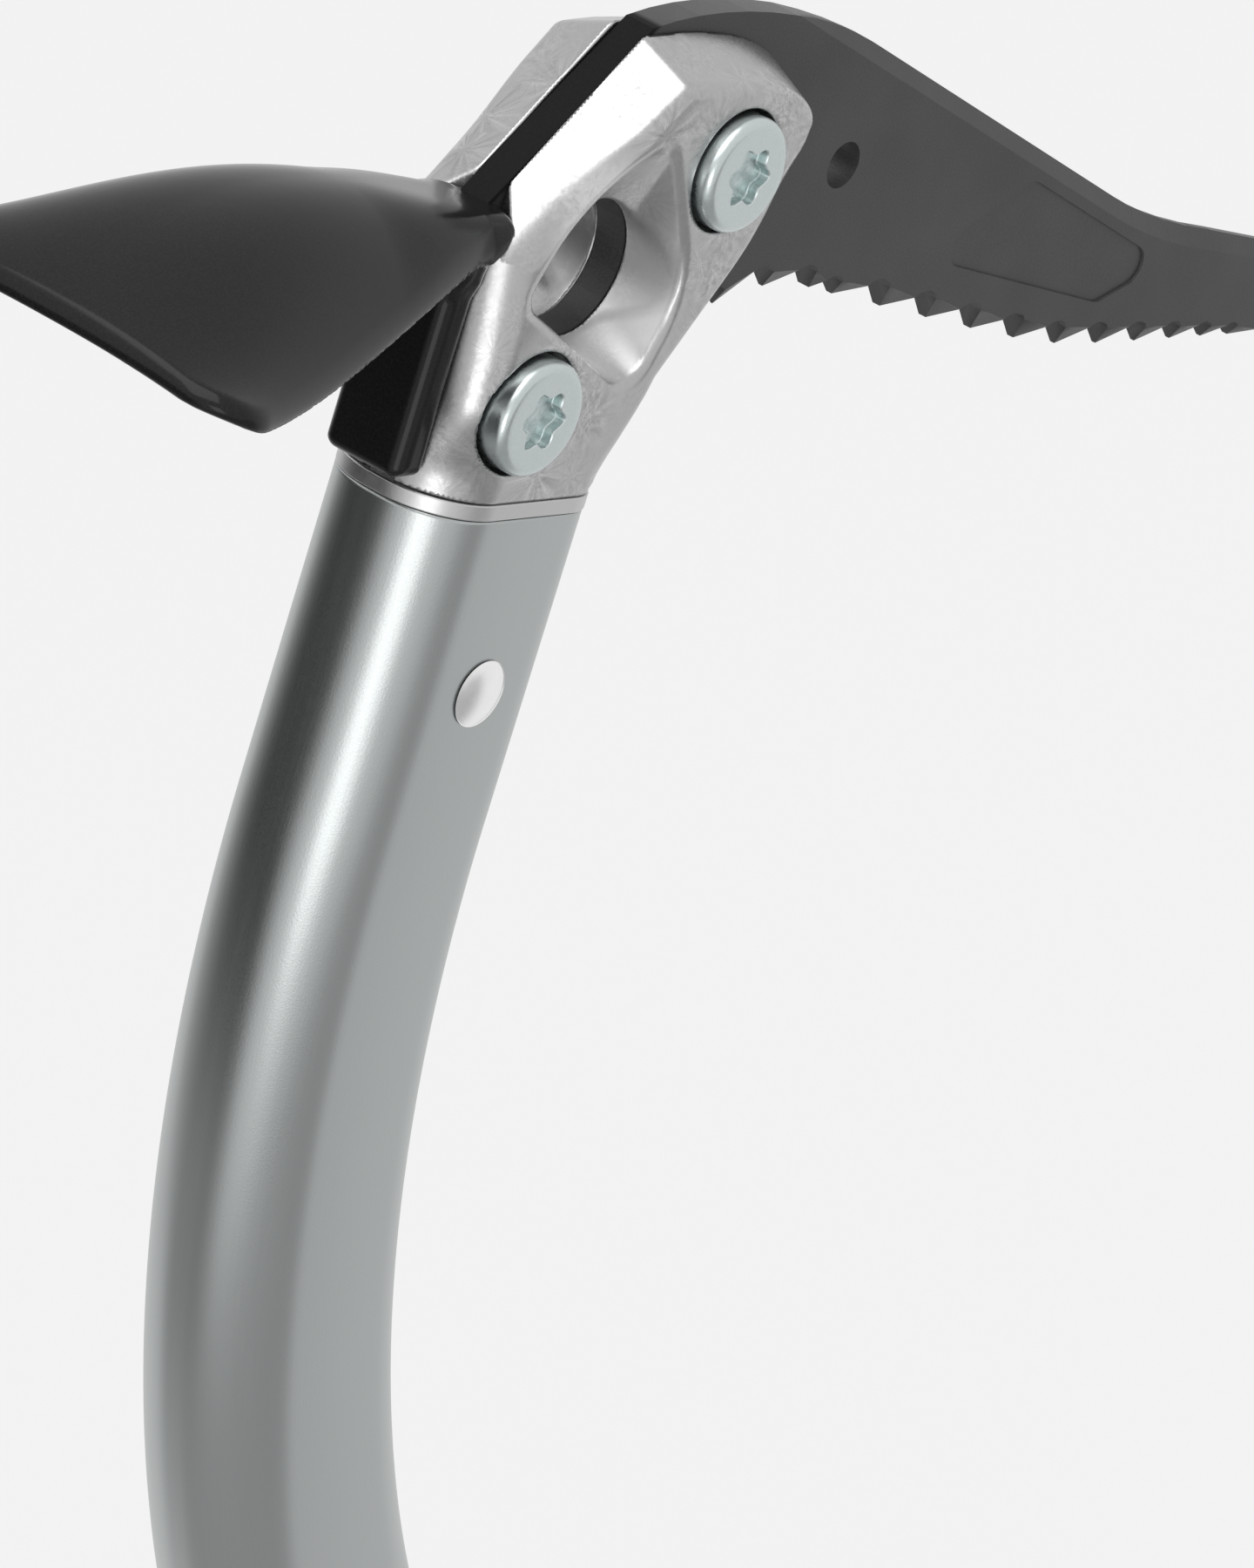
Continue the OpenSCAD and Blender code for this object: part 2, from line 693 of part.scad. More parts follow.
module bolt_washers() {
    color("black") side_view() for (at = bolts_at) translate([at.x, at.y, 0]) {
        washer(seat_n, bolt_d);
        mirror([0, 0, 1]) washer(seat_n, nut_sleeve_d);
    }
}

// Flat ring in a counterbore, round a shank of diameter d
module washer(floor_n, d) {
    translate([0, 0, floor_n]) difference() {
        cylinder(d = counterbore_d - 4 * seat_gap, h = washer_t);
        translate([0, 0, -past]) cylinder(d = d + 2 * seat_gap, h = washer_t + 2 * past);
    }
}

module bolt_nuts() {
    sleeve = seat_n + washer_t - slot_w / 2 - move_gap;
    color("lightgray") side_view() for (at = bolts_at)
        translate([at.x, at.y, -seat_n - washer_t]) mirror([0, 0, 1]) difference() {
            union() {
                flange();
                translate([0, 0, -sleeve]) cylinder(d = nut_sleeve_d, h = sleeve + past);
            }
            cylinder(d = bolt_d + 2 * seat_gap, h = far, center = true);
        }
}

// Cross rivet with a domed head on each side of a piece of the given width
module rivet(width) {
    cylinder(d = rivet_d, h = width + past, center = true);
    dome_r = (rivet_head_d * rivet_head_d / 4 + rivet_head_h * rivet_head_h) / (2 * rivet_head_h);
    for (side = [0, 1]) mirror([0, 0, side]) translate([0, 0, width / 2])
        rotate_extrude() intersection() {
            translate([0, rivet_head_h - dome_r]) circle(dome_r, $fn = 128);
            square([rivet_head_d / 2, rivet_head_h]);
        }
}

module head_rivet() {
    color("white") side_view() translate([rivet_x, -rivet_drop, 0]) rivet(shaft_width + 2 * neck_step + seat_gap);
}

module grip_core() {
    color("dimgray") translate([0, 0, grip_foot]) difference() {
        union() {
            linear_extrude(grip_length) tube_section(core_grow);
            for (z = [0, grip_length - grip_ring_h])
                translate([0, 0, z]) linear_extrude(grip_ring_h) tube_section(skin_grow);
        }
        translate([0, 0, -past]) linear_extrude(grip_length + 2 * past) tube_section(seat_gap);
    }
}

module grip_skin() {
    color([0.15, 0.15, 0.15]) translate([0, 0, grip_foot + grip_ring_h + seat_gap])
        difference() {
            linear_extrude(grip_skin_length) tube_section(skin_grow);
            translate([0, 0, -past])
                linear_extrude(grip_skin_length + 2 * past) tube_section(core_grow + seat_gap);
        }
}

// Slot for the spike's tang
module tang_slot() {
    grip_view() plate(spike_t + 2 * slot_gap)
        translate([-tang_w / 2 - slot_gap, 0]) square([tang_w + 2 * slot_gap, far]);
}

module ferrule() {
    wall_x = shaft_depth / 2 + ferrule_grow / 2;
    color("gray") difference() {
        union() {
            translate([0, 0, ferrule_foot])
                linear_extrude(ferrule_top - ferrule_foot) tube_section(ferrule_grow);
            for (side = [0, 1]) mirror([0, side, 0]) translate([0, -rest_lug_in, 0]) grip_view()
                linear_extrude(lug_t) {
                    translate(rest_pin_at) circle(rest_hub_r);
                    translate([wall_x, rest_pin_at.y - rest_hub_r])
                        square([rest_pin_at.x - wall_x, 2 * rest_hub_r]);
                }
        }
        translate([0, 0, shaft_foot - seat_gap]) linear_extrude(far) tube_section(seat_gap);
        tang_slot();
        grip_view() drill([0, spike_rivet_z], rivet_d + 2 * seat_gap);
        grip_view() drill(rest_pin_at, rest_pin_d + 2 * seat_gap);
    }
}

module end_plug() {
    color("darkslategray") difference() {
        translate([0, 0, shaft_foot]) linear_extrude(plug_length)
            tube_section(-shaft_wall - seat_gap);
        tang_slot();
        grip_view() drill([0, spike_rivet_z], rivet_d + 2 * seat_gap);
    }
}

module spike() {
    shoulder_h = ferrule_foot - seat_gap;
    tang_top = shaft_foot + plug_length - past;
    half = spike_w / 2;
    tip = [1, -point_length];
    edge = curve([half, 0], [half, -half], tip + [2, half], tip);
    color("lightsteelblue") grip_view() difference() {
        plate(spike_t) polygon(concat(
            [[-tang_w / 2, tang_top], [tang_w / 2, tang_top], [tang_w / 2, shoulder_h], [half, shoulder_h]],
            edge,
            [for (i = [len(edge) - 1 : -1 : 0]) [-edge[i].x, edge[i].y]],
            [[-half, shoulder_h], [-tang_w / 2, shoulder_h]]
        ));
        drill([0, 0], 2 * eye_r);
        drill([0, spike_rivet_z], rivet_d + 2 * seat_gap);
    }
}

module spike_rivet() {
    color("white") grip_view() translate([0, spike_rivet_z, 0])
        rivet(shaft_width + 2 * ferrule_grow + seat_gap);
}

module rest_pin() {
    color("silver") grip_view() translate(rest_pin_at)
        cylinder(d = rest_pin_d, h = 2 * rest_lug_out, center = true);
}

module rest_washers() {
    color("white") grip_view() translate(rest_pin_at)
        for (side = [0, 1]) mirror([0, 0, side])
            translate([0, 0, rest_hub_w / 2 + move_gap]) difference() {
                cylinder(r = rest_hub_r, h = rest_washer_t - seat_gap);
                cylinder(d = rest_pin_d + 2 * seat_gap, h = far, center = true);
            }
}

// Shelf of a rest, seen from the side: flat on top and turned up at the end
module shelf_outline(from, to, t, lip) {
    bend = lip;
    polygon(concat(
        [[from, -t], [from, 0]],
        curve([to - t - bend, 0], [to - t - bend / 3, 0], [to - t, bend / 3], [to - t, lip]),
        arc([to - t / 2, lip], t / 2, 180, 0),
        curve([to, bend / 3], [to, -t / 2], [to - bend / 2, -t], [to - bend, -t])
    ));
}

module hand_rest() {
    color("dimgray") grip_view() translate(rest_pin_at) difference() {
        union() {
            cylinder(r = rest_hub_r, h = rest_hub_w, center = true);
            plate(rest_hub_w) translate([0, -rest_t]) square([shelf_from + past, rest_t]);
            plate(rest_w) shelf_outline(shelf_from, rest_length, rest_t, rest_lip);
        }
        cylinder(d = rest_pin_d + 2 * pin_gap, h = far, center = true);
    }
}

module hand_rest_pad() {
    color([0.15, 0.15, 0.15]) grip_view() translate(rest_pin_at)
        plate(rest_w - rest_pad_t) translate([shelf_from + past, seat_gap])
            square([rest_length - rest_t - rest_lip - shelf_from - 2 * past, rest_pad_t]);
}

// Opening in the band and its liner for the brake shoe
module shoe_opening(gap) {
    translate([back_x - band_grow - past, -shoe_w / 2 - gap, cam_at.y - shoe_h / 2 - gap])
        cube([band_grow + past, shoe_w + 2 * gap, shoe_h + 2 * gap]);
}

module trigger_band() {
    lug_y = lever_w / 2 + move_gap;
    wall_x = back_x - band_grow + band_wall / 2;
    hook_x = shaft_depth / 2 + band_grow - band_wall / 2;
    color("gray") difference() {
        union() {
            translate([0, 0, band_foot]) linear_extrude(band_h) tube_section(band_grow);
            for (side = [0, 1]) mirror([0, side, 0]) translate([0, -lug_y, 0]) grip_view()
                linear_extrude(lever_lug_t) {
                    translate(cam_at) circle(cam_r);
                    translate([cam_at.x, cam_at.y - cam_r]) square([wall_x - cam_at.x, 2 * cam_r]);
                }
            grip_view() translate([hook_x, hook_top]) plate(hook_w)
                shelf_outline(0, band_wall / 2 + hook_reach, hook_t, hook_lip);
        }
        translate([0, 0, band_foot - past]) linear_extrude(band_h + 2 * past)
            tube_section(liner_grow + seat_gap);
        shoe_opening(seat_gap);
        grip_view() drill(cam_at, lever_pin_d + 2 * seat_gap);
    }
}

module trigger_liner() {
    color("white") difference() {
        translate([0, 0, band_foot]) linear_extrude(band_h) tube_section(liner_grow);
        translate([0, 0, band_foot - past]) linear_extrude(band_h + 2 * past) tube_section(move_gap);
        shoe_opening(seat_gap);
    }
}

module trigger_pad() {
    pad_x = shaft_depth / 2 + band_grow + past;
    color([0.15, 0.15, 0.15]) grip_view() plate(hook_w - hook_pad_t)
        translate([pad_x, hook_top + seat_gap])
            square([hook_reach - hook_t - hook_lip - 2 * past, hook_pad_t]);
}

module trigger_shoe() {
    color("gray") difference() {
        shoe_opening(0);
        translate([back_x - band_grow - far, -far / 2, 0]) cube([far, far, bend_start]);
        translate([0, 0, band_foot]) linear_extrude(band_h) tube_section(move_gap);
    }
}

module trigger_lever_pin() {
    color("silver") grip_view() translate(cam_at)
        cylinder(d = lever_pin_d, h = lever_w + 2 * move_gap + 2 * lever_lug_t, center = true);
}

module trigger_lever() {
    color("dimgray") grip_view() translate(cam_at) difference() {
        union() {
            cylinder(r = cam_r, h = lever_w, center = true);
            plate(lever_w) polygon(concat(
                [[0, 0], [0.3 * cam_r, cam_r]],
                arc([-0.1 * cam_r, lever_length], 0.4 * cam_r, 0, 180),
                [[-cam_r, cam_r], [-cam_r, 0]]
            ));
        }
        cylinder(d = lever_pin_d + 2 * pin_gap, h = far, center = true);
    }
}

shaft();
shaft_collar();
head();
pick();
adze();
upper_bolt();
lower_bolt();
bolt_washers();
bolt_nuts();
head_rivet();
grip_core();
grip_skin();
ferrule();
end_plug();
spike();
spike_rivet();
rest_pin();
rest_washers();
hand_rest();
hand_rest_pad();
trigger_band();
trigger_liner();
trigger_pad();
trigger_shoe();
trigger_lever_pin();
trigger_lever();
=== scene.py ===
# Ice climbing tool: its looks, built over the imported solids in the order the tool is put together.
import json
import math

import bmesh
import bpy
import numpy as np
from mathutils import Matrix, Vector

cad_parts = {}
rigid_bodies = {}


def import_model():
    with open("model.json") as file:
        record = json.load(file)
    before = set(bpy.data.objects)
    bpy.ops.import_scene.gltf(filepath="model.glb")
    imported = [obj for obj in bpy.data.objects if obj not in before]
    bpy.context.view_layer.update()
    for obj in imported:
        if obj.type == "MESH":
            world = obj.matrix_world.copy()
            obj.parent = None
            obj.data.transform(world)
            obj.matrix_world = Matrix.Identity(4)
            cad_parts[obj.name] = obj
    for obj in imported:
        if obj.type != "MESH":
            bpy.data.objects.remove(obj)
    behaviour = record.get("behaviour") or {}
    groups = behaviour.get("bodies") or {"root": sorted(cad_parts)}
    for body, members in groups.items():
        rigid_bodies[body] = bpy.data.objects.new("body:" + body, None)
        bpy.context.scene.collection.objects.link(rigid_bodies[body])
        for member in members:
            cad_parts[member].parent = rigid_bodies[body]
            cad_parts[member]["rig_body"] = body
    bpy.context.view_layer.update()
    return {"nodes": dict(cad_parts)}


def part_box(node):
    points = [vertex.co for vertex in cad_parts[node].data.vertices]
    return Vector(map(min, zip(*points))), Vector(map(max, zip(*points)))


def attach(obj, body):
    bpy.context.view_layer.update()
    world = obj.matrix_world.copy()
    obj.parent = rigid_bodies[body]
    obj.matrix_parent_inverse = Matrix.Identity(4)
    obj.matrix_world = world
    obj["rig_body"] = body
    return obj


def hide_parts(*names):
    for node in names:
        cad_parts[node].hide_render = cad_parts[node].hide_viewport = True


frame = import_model()

# SHAFT
# A drawn aluminium tube, flat on its sides and rounder at the back than in front. It runs
# straight through the grip, bends forward and ends in a short straight neck under the head.
# It is satin anodised, so fine drawing lines run along it and it sparkles faintly.
MM = 0.001
TUBE_DEPTH, TUBE_WIDTH, TUBE_WALL, TUBE_GIRTH = 29.2, 20.5, 1.6, 84.0
BACK_R, FRONT_R, SIDE_R, EDGE_R = 9.2, 6.0, 230.0, 0.12
TUBE_FOOT, BEND_FROM, BEND_R, BEND, NECK = 17.0, 280.0, 195.0, math.radians(40), 38.0
STRAIGHT, BENT = BEND_FROM - TUBE_FOOT, BEND_R * BEND
ANODISED, SATIN = (0.446, 0.466, 0.465), 0.31


class Paint:
    """A shader socket. Arithmetic on it adds Math nodes, and node() adds any other node."""

    def __init__(self, tree, socket=None):
        self.tree, self.socket = tree, socket

    def node(self, kind, settings=None, inputs=None, output=0):
        """Adds a node of a type: its settings first, then the values or links of its sockets."""
        made = self.tree.nodes.new("ShaderNode" + kind)
        for name, value in (settings or {}).items():
            setattr(made, name, value)
        for name, value in (inputs or {}).items():
            if isinstance(value, Paint):
                self.tree.links.new(value.socket, made.inputs[name])
            else:
                made.inputs[name].default_value = value
        return Paint(self.tree, made.outputs[output])

    def math(self, operation, *others):
        """One Math node on this value and others."""
        return self.node("Math", {"operation": operation}, dict(enumerate((self, *others))))

    def vector(self, operation, other, output=0):
        """One Vector Math node on this vector and another. Output 1 is its single value."""
        return self.node("VectorMath", {"operation": operation}, {0: self, 1: other}, output)

    def __add__(self, other):
        return self.math("ADD", other)

    def __sub__(self, other):
        return self.math("SUBTRACT", other)

    def __rsub__(self, other):
        return self.node("Math", {"operation": "SUBTRACT"}, {0: other, 1: self})

    def __mul__(self, other):
        return self.math("MULTIPLY", other)

    __radd__, __rmul__ = __add__, __mul__

    def clamp(self, low=0.0, high=1.0):
        """This value, held between low and high."""
        return self.node("Clamp", None, {"Value": self, "Min": low, "Max": high})

    def ease(self, low, high):
        """0 below low, 1 above high and smooth between."""
        span = {"Value": self, "From Min": low, "From Max": high}
        return self.node("MapRange", {"interpolation_type": "SMOOTHSTEP"}, span)

    def noise(self, scale, detail=2.0, rough=0.5):
        """Noise about 0.5 at this place, with features about 1/scale mm apart."""
        look = {"Vector": self, "Scale": scale, "Detail": detail, "Roughness": rough}
        return self.node("TexNoise", None, look)

    def blend(self, low, high):
        """A colour from low to high as this value goes from 0 to 1, and past high above 1."""
        ends = {0: self, 6: (*low, 1), 7: (*high, 1)}
        return self.node("Mix", {"data_type": "RGBA", "clamp_factor": False}, ends, 2)


def shades(colour, dark, light):
    """A colour times two shares, as the ends of a blend."""
    return [c * dark for c in colour], [c * light for c in colour]


def finish(name, recipe, **constants):
    """A material. recipe(place in mm) returns what changes over the surface, by socket name; constants
    go on the shader's own sockets. "Bump" is (height, depth in mm) and turns into the Normal."""
    made = bpy.data.materials.new(name)
    made.use_nodes = True
    tree = made.node_tree
    shader = tree.nodes["Principled BSDF"]
    place = Paint(tree).node("TexCoord", None, None, "Object").vector("MULTIPLY", (1 / MM, 1 / MM, 1 / MM))
    for socket, value in constants.items():
        shader.inputs[socket.replace("_", " ")].default_value = value
    for socket, value in recipe(place).items():
        if socket == "Bump":
            height, depth = value
            value = height.node("Bump", None, {"Height": height, "Distance": depth * MM, "Strength": 1.0})
            socket = "Normal"
        tree.links.new(value.socket, shader.inputs[socket])
    return made


def mesh_piece(name, points, faces, material, normals=None, uv=None, crease=None):
    """A mesh object at the origin from points in mm and a list of face arrays, quads or triangles."""
    mesh = bpy.data.meshes.new(name)
    corners = np.concatenate([np.ravel(part) for part in faces]).astype(np.int32)
    counts = np.concatenate([np.full(len(part), len(part[0])) for part in faces])
    mesh.vertices.add(len(points))
    mesh.vertices.foreach_set("co", (np.asarray(points) * MM).astype(np.float32).ravel())
    mesh.loops.add(len(corners))
    mesh.loops.foreach_set("vertex_index", corners)
    mesh.polygons.add(len(counts))
    mesh.polygons.foreach_set("loop_start", np.r_[0, np.cumsum(counts)[:-1]].astype(np.int32))
    mesh.polygons.foreach_set("use_smooth", np.ones(len(counts), bool))
    mesh.update(calc_edges=True)
    if uv is not None:
        layer = mesh.uv_layers.new(name="UVMap")
        layer.data.foreach_set("uv", np.asarray(uv)[corners].astype(np.float32).ravel())
    if crease is not None:
        mesh.set_sharp_from_angle(angle=math.radians(crease))
    if normals is not None:
        mesh.normals_split_custom_set_from_vertices(np.asarray(normals, np.float32))
    mesh.materials.append(material)
    made = bpy.data.objects.new(name, mesh)
    bpy.context.scene.collection.objects.link(made)
    return made


def stand_for(piece, slot, *nodes):
    """The piece replaces these CAD nodes and moves with their body; the slot is not used."""
    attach(piece, frame["nodes"][nodes[0]]["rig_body"])
    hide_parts(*nodes)


def grid_faces(rows, columns, round_rows=False, round_columns=False):
    """Quads between the points of a grid stored row by row; round directions close on themselves."""
    row_steps = np.arange(rows if round_rows else rows - 1)
    column_steps = np.arange(columns if round_columns else columns - 1)
    row, column = np.meshgrid(row_steps, column_steps, indexing="ij")
    here, above, beside = row * columns, (row + 1) % rows * columns, (column + 1) % columns
    return np.stack([here + column, here + beside, above + beside, above + column], -1).reshape(-1, 4)


def tube_ring(grow=0.0, steps=16):
    """The tube's section as points (forward, across). Each half is a front corner, a side bowed on a long
    radius and a back corner, arcs that run into one another; the other half is its mirror image."""
    depth, width, bow = TUBE_DEPTH / 2 + grow, TUBE_WIDTH / 2 + grow, SIDE_R + grow
    front, back = FRONT_R + grow, BACK_R + grow
    lean = [math.asin((depth - r) / (bow - r)) for r in (front, back)]
    rise = [width - bow + (bow - r) * math.cos(a) for r, a in zip((front, back), lean)]
    arcs = [
        (depth - front, rise[0], front, 0, math.pi / 2 - lean[0]),
        (0, width - bow, bow, math.pi / 2 - lean[0], math.pi / 2 + lean[1]),
        (back - depth, rise[1], back, math.pi / 2 + lean[1], math.pi),
    ]
    turns = [np.linspace(start, end, steps + 1)[k > 0:] for k, (*_, start, end) in enumerate(arcs)]
    half = np.vstack([
        np.c_[x + r * np.cos(a), y + r * np.sin(a)] for (x, y, r, *_), a in zip(arcs, turns)
    ])
    return np.vstack([half, half[::-1] * (1, -1)])


def tube_line(along):
    """Centre and forward direction of the tube at lengths along it: straight, arc, then straight neck."""
    a = np.clip((along - STRAIGHT) / BEND_R, 0, BEND)
    x, z = BEND_R * (1 - np.cos(a)), TUBE_FOOT + np.minimum(along, STRAIGHT) + BEND_R * np.sin(a)
    rest = np.maximum(along - STRAIGHT - BENT, 0)
    centre = np.stack([x + rest * np.sin(a), 0 * a, z + rest * np.cos(a)], -1)
    return centre, np.stack([np.cos(a), 0 * a, -np.sin(a)], -1)


def sweep(along, rings):
    """Points of sections carried along the tube: centre + forward run * direction + across * Y."""
    centre, forward = tube_line(along)
    return centre[:, None] + rings[..., :1] * forward[:, None] + rings[..., 1:] * np.array([0, 1, 0])


tube_length = STRAIGHT + BENT + NECK
stations = np.r_[
    np.linspace(0, STRAIGHT, 60),
    np.linspace(STRAIGHT, STRAIGHT + BENT, 90)[1:],
    tube_length - np.r_[np.linspace(NECK - 2, 0.4, 24), 0],
]
walk = np.r_[stations[:1], stations, stations[-1:], stations[-1:], stations[::-1], stations[:1]]
outer, inner = tube_ring(), tube_ring(-TUBE_WALL)
soft = tube_ring(-EDGE_R)
outer_count = len(stations)
rings = np.concatenate([
    soft[None], np.repeat(outer[None], outer_count, 0), soft[None],
    inner[None], np.repeat(inner[None], outer_count, 0), inner[None],
])
walk[1], walk[outer_count] = stations[0] + EDGE_R, stations[-1] - EDGE_R
girth = len(outer)
round_uv = np.stack(np.meshgrid(walk, np.linspace(0, TUBE_GIRTH, girth), indexing="ij"), -1)[..., ::-1]


def anodised(place):
    """Satin anodising: drawing lines stretched along the tube and a fine sparkle."""
    lie = place.node("TexCoord", None, None, "UV")
    lines = lie.vector("MULTIPLY", (5.0, 0.05, 1.0)).noise(1.0, 3.0)
    sparkle = place.noise(4.0, 2.0)
    cloud = place.noise(0.05, 1.0)
    tone = (lines - 0.5) * 0.10 + (sparkle - 0.5) * 0.16 + (cloud - 0.5) * 0.10 + 0.5
    return {
        "Base Color": tone.clamp().blend(*shades(ANODISED, 0.86, 1.14)),
        "Roughness": SATIN + (lines - 0.5) * 0.06 + (sparkle - 0.5) * 0.08,
        "Bump": (sparkle * 0.7 + lines * 0.3, 0.014),
    }


shaft = mesh_piece(
    "shaft_tube", sweep(walk, rings).reshape(-1, 3), [grid_faces(len(walk), girth, True, True)[:, ::-1]],
    finish("satin_anodised", anodised, Metallic=1.0), uv=round_uv.reshape(-1, 2), crease=50,
)
stand_for(shaft, "anodised_tube", "shaft")

# HEAD
# A forged aluminium head on a spigot in the tube. Two cheeks hold the pick and the adze in a slot,
# a window with flared pockets lightens it, and its spine is a pair of faces that twist from the
# back of the neck to the top. The bare metal keeps faint frost stars from its heat treatment.
# Its own frame, in mm: w forward, v up the neck from the tube's end, n out of the near cheek.
CHEEK, SLOT, SLOT_STEP_W, SLOT_FRONT_H = 10.7, 2.1, 1.6, 12.0
RING_TOP, TUCK, FOOT_SLIM = 2.0, 0.6, 0.45
BACK_W, BACK_H, SPINE = -TUBE_DEPTH / 2, 31.4, math.radians(44.5)
SPINE_LIFT, SPINE_RISE, SPINE_LEAN, SPINE_STEEP, ROOF_LEAN = 0.1, 0.028, 0.33, 1.053, 0.40
LEAN_AT, LEAN_WAY, LEAN_NEAR, LEAN_FAR = (8.0, 48.0), (-0.84, 0.54), 0.13, 0.09
CHEEK_RIM, CHEEK_RIM_CHANGES = 5.5, ((-3.2, 3, 15), (0.5, 28, 34), (-1.7, 37, 46))
FOOT_ZONE, ROOF_ZONE, BACK_ZONE, BACK_LOSS = (2, 9), (31, 45), (4, 14), 4.7
NOSE, NOSE_R = np.array([25.5, 44.5]), 8.7
CREST, CREST_R = np.array([13.0, 44.5]), np.array([21.3, 8.9])
WINDOW, WINDOW_R = np.array([6.8, 26.2]), 8.2
CONE_R, CONE_LOSS, CORNER_LOSS, CORNER_LEAST = 7.6, 3.1, 6.2, 0.8
POCKET = (
    (0.849, 0.527, 28.2), (0.943, -0.332, 6.7), (-0.456, -0.891, -17.7),
    (-0.906, 0.423, 21.2), (-0.38, 0.925, 38.5),
)
UPPER_BOLT, LOWER_BOLT = np.array([18.7, 40.3]), np.array([-5.0, 12.8])
SEAT_N, BORE_R, BOLT_HOLE, NUT_HOLE = 7.5, 7.25, 3.05, 4.25
NOTCH_FRONT, NOTCH_LEAN, NOTCH_STEEP = -9.5, 0.6, 1.17
NOTCH_H, NOTCH_BREAK, NOTCH_FALL = 32.3, -12.2, 0.88
STUB_PLAY, STUB_FOOT, STUB_TOP = 0.05, -34.0, 4.0
STUB_DEPTH, STUB_WIDTH = (size / 2 - TUBE_WALL - STUB_PLAY for size in (TUBE_DEPTH, TUBE_WIDTH))
RIDGE_R, POCKET_RIM, NOTCH_RIM, WINDOW_RIM = 0.5, 0.9, 0.4, 0.4
SEAT_RIM, BORE_RIM, SLOT_RIM, STUB_RIM = 0.2, 0.35, 0.32, 0.6
PROBE, SKIN_STEP = 0.05, 0.4
FORGED, FROST, STARS = (0.445, 0.445, 0.445), 0.29, ((9.0, 1.0), (5.0, 0.6))


def outline_distance(x, y, points):
    """Signed distance to a closed outline: the least distance to its sides, negative inside, where
    a ray to the right crosses the sides an odd number of times."""
    away, inside = np.inf, False
    for (ax, ay), (bx, by) in zip(points, np.roll(points, -1, 0)):
        t = np.clip(((x - ax) * (bx - ax) + (y - ay) * (by - ay)) / ((bx - ax) ** 2 + (by - ay) ** 2), 0, 1)
        away = np.minimum(away, (x - ax - t * (bx - ax)) ** 2 + (y - ay - t * (by - ay)) ** 2)
        if ay != by:
            inside = inside ^ (((ay > y) != (by > y)) & (x < ax + (y - ay) * (bx - ax) / (by - ay)))
    return np.where(inside, -1, 1) * np.sqrt(away)


def both(a, b, r):
    """Distance of what lies in both shapes, with its edge rounded to radius r."""
    return np.minimum(-r, np.maximum(a, b)) + np.hypot(np.maximum(a + r, 0), np.maximum(b + r, 0))


def joined(a, b, r):
    """Distance of two shapes together, with a fillet of radius r where they meet."""
    return np.maximum(r, np.minimum(a, b)) - np.hypot(np.maximum(r - a, 0), np.maximum(r - b, 0))


def cut(a, b, r):
    """Distance of the first shape less the second, with the rim rounded to radius r."""
    return both(a, -b, r)


def smooth_step(low, high, x):
    """0 below low, 1 above high and smooth between: three times the square less twice the cube."""
    t = np.clip((x - low) / (high - low), 0, 1)
    return t * t * (3 - 2 * t)


def skin_of(distance, low, high, step):
    """The surface where a distance is zero. Each grid cell that the surface crosses gets a point, the
    mean of the crossings on its edges; cells round a crossed edge make a quad. The points then slide
    down the distance's slope onto the surface, and the slope is their normal."""
    axes = [np.arange(a, b + step, step) for a, b in zip(low, high)]
    field = distance(*np.meshgrid(*axes, indexing="ij", sparse=True))
    size = np.array(field.shape) - 1
    total, count = np.zeros((*size, 3)), np.zeros(size)
    edges = []
    for axis in range(3):
        b, c = [k for k in range(3) if k != axis]
        one = field.take(range(size[axis]), axis)
        two = field.take(range(1, size[axis] + 1), axis)
        crossed = (one < 0) != (two < 0)
        share = np.where(crossed, one / np.where(crossed, one - two, 1), 0)
        edges.append((crossed, one < 0))
        for db in (0, 1):
            for dc in (0, 1):
                part = [slice(None)] * 3
                part[b], part[c] = slice(db, db + size[b]), slice(dc, dc + size[c])
                hit = crossed[tuple(part)]
                count += hit
                total[..., axis] += share[tuple(part)]
                total[..., b] += db * hit
                total[..., c] += dc * hit
    used = count > 0
    number = np.full(size, -1)
    number[used] = np.arange(used.sum())
    points = np.array(low) + step * (np.argwhere(used) + total[used] / count[used][:, None])
    quads = []
    for axis, (crossed, inside) in enumerate(edges):
        b, c = [k for k in range(3) if k != axis]
        at = np.argwhere(crossed)
        at = at[(at[:, b] > 0) & (at[:, c] > 0) & (at[:, b] < size[b]) & (at[:, c] < size[c])]
        db, dc = np.eye(3, dtype=int)[b], np.eye(3, dtype=int)[c]
        ring = [number[tuple((at - k).T)] for k in (db + dc, dc, 0 * db, db)]
        quad = np.stack(ring, -1)
        flip = inside[tuple(at.T)] != (axis == 1)
        quads.append(np.where(flip[:, None], quad, quad[:, ::-1]))
    for _ in range(3):
        slope = np.stack([
            (distance(*(points + d).T) - distance(*(points - d).T)) / (2 * PROBE) for d in PROBE * np.eye(3)
        ], -1)
        steep = np.maximum((slope ** 2).sum(1), 0.05)
        points = points - np.clip(distance(*points.T) / steep, -step / 2, step / 2)[:, None] * slope
    return points, np.vstack(quads), slope / np.linalg.norm(slope, axis=1)[:, None]


def from_head(points):
    """Takes points of the head's own frame (w, v, n) to the tool's frame."""
    centre, forward = tube_line(np.array([tube_length]))
    up = np.array([math.sin(BEND), 0, math.cos(BEND)])
    return points[:, :1] * forward + points[:, 1:2] * up + points[:, 2:] * np.array([0, -1, 0])


